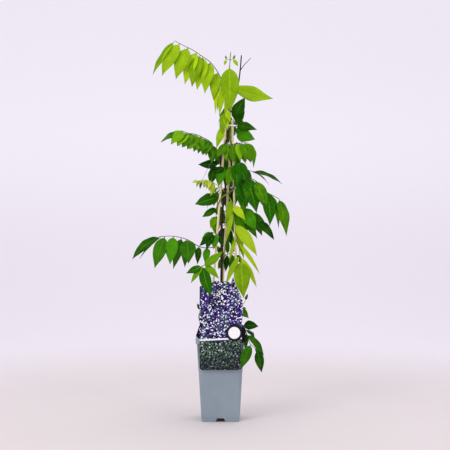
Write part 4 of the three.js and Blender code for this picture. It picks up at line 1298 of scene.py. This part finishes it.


# Each kind of leaf's deepest and lightest tone, its veins and its underside. The yellow-green of
# young, bright and tender leaves is partly their own colour and partly painted light shining through
# them.
LEAF_COLORS = {
    "young": ((104, 148, 6), (176, 209, 24), (196, 220, 56), (150, 186, 40)),
    "bright": ((104, 144, 8), (176, 205, 34), (194, 216, 64), (154, 186, 48)),
    "tender": ((144, 170, 36), (196, 216, 76), (216, 224, 110), (184, 198, 86)),
    "mid": ((26, 92, 1), (122, 176, 12), (150, 192, 48), (90, 144, 34)),
    "dark": ((10, 58, 1), (70, 142, 8), (108, 166, 44), (62, 118, 30)),
    "bud": ((62, 50, 92), (110, 92, 146), (130, 116, 156), (104, 90, 126)),
}
STALK_COLORS = {
    "young": ((84, 82, 42), (116, 110, 58)),
    "bright": ((112, 122, 38), (146, 152, 58)),
    "tender": ((144, 146, 52), (170, 166, 70)),
    "mid": ((54, 76, 28), (84, 100, 42)),
    "dark": ((36, 56, 24), (66, 80, 38)),
    "bud": ((92, 84, 84), (120, 110, 104)),
}
LEAF_FINISHES = {
    tone: leaf_finish(f"leaf_{tone}", *(paint(*color) for color in colors))
    for tone, colors in LEAF_COLORS.items()
}
STALK_FINISHES = {
    tone: stalk_finish(f"stalk_{tone}", *(paint(*color) for color in colors))
    for tone, colors in STALK_COLORS.items()
}

# How much lighter or darker a frond stands than its tone: partly its own tone and partly painted
# shade, darkest on the core fronds deep inside the plant.
TONE_SHIFTS_AND_PAINTED_SHADE = {
    "frond_center_front": -0.55, "frond_left_mid": -0.2, "frond_right_mid": -0.3,
    "frond_star": -0.15, "frond_center": 0.1, "frond_second_left": 0.05, "frond_top_front": 0.2,
    "frond_lower_left": 0.2, "frond_low_right": -0.25, "frond_left_dark": -0.1,
    "frond_upper_right": 0.25, "frond_right_high": 0.15, "frond_core_high": -0.3,
    "frond_core_mid": -0.3, "frond_core_low": -0.3, "frond_core_base": -0.2,
    "frond_inner_left": -0.2,
}

for index, frond in enumerate(FRONDS):
    growth = Growth()
    curve = stalk_curve(frond)
    count = STALK_STEPS * (len(frond["through"]) + 1)
    line = [curve_point(curve, step / (count - 1)) for step in range(count)]
    # The stalk swells where it seats and tapers to its tip.
    thick = frond.get("stalk", STALK_RADIUS)
    radii = [thick * (1.5 if step < 2 else 1 - 0.45 * step / count) for step in range(count)]
    root = line[0] * 2 - line[1]
    growth.stalk([root, *line], [thick, *radii])
    chance = draws(900 + 37 * index)
    for leaf in leaflets_of(frond, curve):
        growth.leaflet(leaf, TONE_SHIFTS_AND_PAINTED_SHADE.get(frond["name"], 0), chance)
    piece = growth.piece(frond["name"] + "_fine")
    piece.data.materials.append(LEAF_FINISHES[frond["tone"]])
    piece.data.materials.append(STALK_FINISHES[frond["tone"]])
    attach(piece, "root")
    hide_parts(frond["name"])

# ---- Label ----
# A die-cut card of coated stock, printed on the front. It hangs on the rim by a tongue behind it,
# lies flat on the pot's face below and stands up above, and a round white disc is stuck on it.

CARD_BACK = -60.6
CARD_THICKNESS = 0.8
CARD_EDGE = (
    (-50, 133), (-48.2, 128.8), (-44, 127), (44, 127), (48.2, 128.8), (50, 133),
    (50, 190), (61, 197), (60, 226), (50, 236), (52, 247), (53.6, 268), (54, 288), (50, 301),
    (45, 314), (36, 332), (30, 350), (25, 333), (20, 337.5), (13.5, 339.6), (8, 339), (2, 337),
    (-4, 340), (-10, 340.5), (-16, 339), (-22, 335), (-30, 322), (-35, 329), (-40, 331), (-45, 330),
    (-50, 326), (-50, 236), (-59, 208), (-50, 203),
)
EDGE_ROUNDING = 0.12
FOLD_HEIGHT = 200
DISC = (33, 216)
DISC_RADIUS = 18.5
DISC_INK_RADIUS = 14
BORDER_RADIUS = 20
TONGUE_MIDDLE, TONGUE_SIZE = (-9, -53.5, 195.1), (62, 0.8, 14.2)
FOLD_MIDDLE, FOLD_SIZE = (-9, -57.1, 201.8), (62, 7.6, 0.8)


def flat_piece(name, edge, front, depth):
    """A closed outline in X and Z, filled and given its depth, with its front face at front."""
    drawing = bpy.data.curves.new(name, "CURVE")
    drawing.dimensions = "2D"
    drawing.fill_mode = "BOTH"
    drawing.extrude = depth / 2 * MM
    drawing.bevel_depth = EDGE_ROUNDING * MM
    drawing.offset = -EDGE_ROUNDING * MM
    line = drawing.splines.new("POLY")
    line.points.add(len(edge) - 1)
    line.use_cyclic_u = True
    for spot, (x, z) in zip(line.points, edge):
        spot.co = (x * MM, z * MM, 0, 1)
    begin(add_object(name, drawing))
    bpy.ops.object.convert(target="MESH")
    stand = Matrix.Rotation(math.pi / 2, 4, "X")
    bpy.context.object.data.transform(Matrix.Translation((0, (front + depth / 2) * MM, 0)) @ stand)
    return settle(name)


def ring_edge(radius, count=64):
    """A circle round the disc's middle."""
    x, z = DISC
    turns = [2 * math.pi * index / count for index in range(count)]
    return [(x + radius * math.cos(turn), z + radius * math.sin(turn)) for turn in turns]


card_front = CARD_BACK - CARD_THICKNESS
card = flat_piece("label_print", CARD_EDGE, card_front, CARD_THICKNESS)
border = flat_piece("border", ring_edge(BORDER_RADIUS), card_front - 0.15, CARD_THICKNESS)
tongue = slab("tongue", TONGUE_MIDDLE, TONGUE_SIZE)
fold = slab("fold", FOLD_MIDDLE, FOLD_SIZE)
begin(card, border, tongue, fold)
bpy.ops.object.join()
disc = flat_piece("label_disc", ring_edge(DISC_RADIUS), card_front - 0.8, 0.5)


def print_finish():
    """Petals in white, lavender and violet, strewn over dusky blue, with leaf flecks below."""
    ink = Finish("printed_card", Specular_IOR_Level=0.08)
    height = ink.along("Z")
    side = ink.along("X")
    flat = ink.place((1, 0, 1))
    slant = ink.place((1.5, 0, 0.7), (0, 0.7, 0))
    # The distance to the middle of the nearest petal, and two draws for that petal.
    petals = {"Vector": flat, "Scale": 275}
    far = ink.node("ShaderNodeTexVoronoi", {}, petals, "Distance")
    draw = ink.node("ShaderNodeTexVoronoi", {}, petals, "Color")
    pick, other = (ink.node("ShaderNodeSeparateXYZ", {}, {"Vector": draw}, axis) for axis in "XY")
    drift = ink.noise(slant, 27, 2)
    cloud = ink.noise(slant, 44, 2)
    mottle = ink.noise(flat, 210, 4, 0.7)
    ground = ink.mix(drift.between(0.4, 0.58), paint(8, 6, 24), paint(46, 30, 112))
    ground = ink.mix(cloud.between(0.5, 0.64), ground, paint(28, 46, 70))
    ground = ink.mix(mottle.between(0.48, 0.7) * 0.7, ground, paint(120, 104, 196))
    ground = ink.mix(mottle.between(0.54, 0.4), ground, paint(4, 2, 12))
    petal = ink.mix(pick.between(0.3, 0.7), paint(126, 100, 204), paint(206, 198, 244))
    petal = ink.mix(other.between(0.42, 0.48), petal, paint(252, 250, 255))
    rim = (0.28 + 0.3 * other + 1.4 * (mottle - 0.48) - far).between(0, 0.12)
    bloom = ink.mix(rim * pick.between(0.22, 0.3), ground, petal)
    bloom = ink.mix(cloud.between(0.5, 0.64) * 0.14, bloom, paint(110, 160, 172))
    moss = ink.mix(mottle.between(0.4, 0.62), paint(8, 12, 14), paint(64, 76, 84))
    moss = ink.mix(rim * other.between(0.42, 0.52) * 0.75, moss, paint(108, 152, 94))
    moss = ink.mix(rim * pick.between(0.74, 0.8) * 0.85, moss, paint(200, 204, 214))
    moss = ink.mix(height.between(172 * MM, 134 * MM) * 0.6, moss, paint(24, 20, 36))
    crease = height - side * 0.05
    above = crease.between((FOLD_HEIGHT - 0.5) * MM, (FOLD_HEIGHT + 0.5) * MM)
    color = ink.mix(above, moss, bloom)
    band = crease.between((FOLD_HEIGHT - 1.5) * MM, (FOLD_HEIGHT - 0.8) * MM)
    band = band * crease.between((FOLD_HEIGHT + 3.2) * MM, (FOLD_HEIGHT + 2.5) * MM)
    color = ink.mix(band, color, paint(236, 236, 242))
    x, z = DISC
    away = (side - x * MM).math("POWER", 2) + (height - z * MM).math("POWER", 2)
    shoulder = side.math("ABSOLUTE").between(50.5 * MM, 51.2 * MM)
    shoulder = shoulder * height.between(236 * MM, 230 * MM)
    inked = away.between(((BORDER_RADIUS + 0.3) * MM) ** 2, (BORDER_RADIUS * MM) ** 2)
    color = ink.mix(inked.math("MAXIMUM", shoulder), color, paint(12, 10, 14))
    behind = ink.along("Y").between((CARD_BACK - 0.3) * MM, (CARD_BACK - 0.1) * MM)
    color = ink.mix(behind, color, paint(226, 226, 224))
    ink.wear(Base_Color=color, Roughness=0.34 + 0.15 * mottle)
    return ink.material


def disc_finish():
    """A blank white disc with a black ring printed round its edge."""
    paper = Finish("white_disc", Specular_IOR_Level=0.3)
    grain = paper.noise(paper.place(), 500, 3)
    x, z = DISC
    across = (paper.along("X") - x * MM).math("POWER", 2)
    away = across + (paper.along("Z") - z * MM).math("POWER", 2)
    white = paper.mix(grain, paint(250, 250, 250), paint(238, 238, 240))
    inked = away.between((DISC_INK_RADIUS * MM) ** 2, ((DISC_INK_RADIUS + 0.28) * MM) ** 2)
    paper.wear(Base_Color=paper.mix(inked, white, paint(12, 10, 14)), Roughness=0.4 + 0.1 * grain)
    paper.bump(grain, 0.0001)
    return paper.material


for piece, node, finish, slot in (
    (card, "label_card", print_finish(), "label_card"),
    (disc, "label_sticker", disc_finish(), "label_sticker"),
):
    smooth(piece, 30)
    piece.data.materials.append(finish)
    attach(piece, "root")
    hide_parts(node)

# ---- Room ----
# A pale sheet that curves up from the floor to the wall behind, soft light from above and in front,
# and a camera at the height of the plant's middle. Sheet and lamps are in metres.

SHEET_SIZE = 8
SHEET_HEIGHT = 6
SWEEP_RADIUS = 2.4
CAMERA_PLACE = (10.8, -2603, 474)
FIELD_WIDTH = 1102.5

begin()
bpy.ops.mesh.primitive_plane_add(size=SHEET_SIZE, location=(0, 0, 0))
bpy.ops.object.mode_set(mode="EDIT")
bpy.ops.mesh.select_mode(type="EDGE")
bpy.ops.mesh.select_all(action="DESELECT")
bpy.ops.object.mode_set(mode="OBJECT")
# The far edge is drawn up into the wall, and then the bend between the two is rounded.
for edge in bpy.context.object.data.edges:
    ends = [bpy.context.object.data.vertices[index].co.y for index in edge.vertices]
    edge.select = min(ends) > 3
bpy.ops.object.mode_set(mode="EDIT")
bpy.ops.mesh.extrude_region_move(TRANSFORM_OT_translate={"value": (0, 0, SHEET_HEIGHT)})
bpy.ops.object.mode_set(mode="OBJECT")
for edge in bpy.context.object.data.edges:
    ends = [bpy.context.object.data.vertices[index].co for index in edge.vertices]
    edge.select = all(end.y > 3 and end.z < 1 for end in ends)
bpy.ops.object.mode_set(mode="EDIT")
bpy.ops.mesh.bevel(offset=SWEEP_RADIUS, segments=24, affect="EDGES")
sheet = settle("pale_sweep")
smooth(sheet, 60)


def sheet_finish():
    """Darker round the pot with painted shade, paler away from it, and palest on the wall with
    painted light.
    """
    pale = Finish("pale_sweep", Specular_IOR_Level=0.1, Roughness=0.9)
    grain = pale.noise(pale.place(), 3, 2)
    height = pale.along("Z")
    away = (pale.along("X").math("POWER", 2) + pale.along("Y").math("POWER", 2)).math("SQRT")
    # Painted shade on the floor round the pot, faintly mottled.
    painted_shade_floor = pale.mix(grain, paint(211, 203, 203), paint(216, 208, 208))
    color = pale.mix(away.between(0.5, 1.9), painted_shade_floor, paint(234, 228, 234))
    # Painted light: the sheet pales up the wall.
    color = pale.mix(height.between(0.05, 1.1), color, paint(249, 245, 251))
    pale.wear(Base_Color=color)
    return pale.material


sheet.data.materials.append(sheet_finish())


def lamp(name, power, size, place, target, color):
    light = bpy.data.lights.new(name, "AREA")
    light.energy = power
    light.size = size
    light.color = color
    stand = add_object(name, light)
    stand.location = place
    stand.rotation_euler = (Vector(target) - Vector(place)).to_track_quat("-Z", "Y").to_euler()


lamp("key", 34, 1.5, (-1.6, -2.2, 2.4), (0, 0, 0.5), (1, 0.99, 0.97))
lamp("fill", 12, 2.0, (2.2, -1.8, 1.4), (0, 0, 0.5), (0.97, 0.97, 1))
lamp("top", 16, 1.8, (0.3, 0.6, 2.6), (0, 0, 0.6), (1, 1, 1))

world = bpy.data.worlds.new("soft_room")
world.use_nodes = True
sky = world.node_tree.nodes["Background"]
sky.inputs["Color"].default_value = (0.93, 0.92, 0.98, 1)
sky.inputs["Strength"].default_value = 0.88
bpy.context.scene.world = world
bpy.context.scene.view_settings.view_transform = "Standard"

view = bpy.data.cameras.new("view")
view.sensor_width = 36
view.lens = view.sensor_width * -CAMERA_PLACE[1] / FIELD_WIDTH
view.clip_start = 0.05
view.clip_end = 60
camera = add_object("view", view)
camera.location = Vector(CAMERA_PLACE) * MM
camera.rotation_euler = (math.pi / 2, 0, 0)
bpy.context.scene.camera = camera
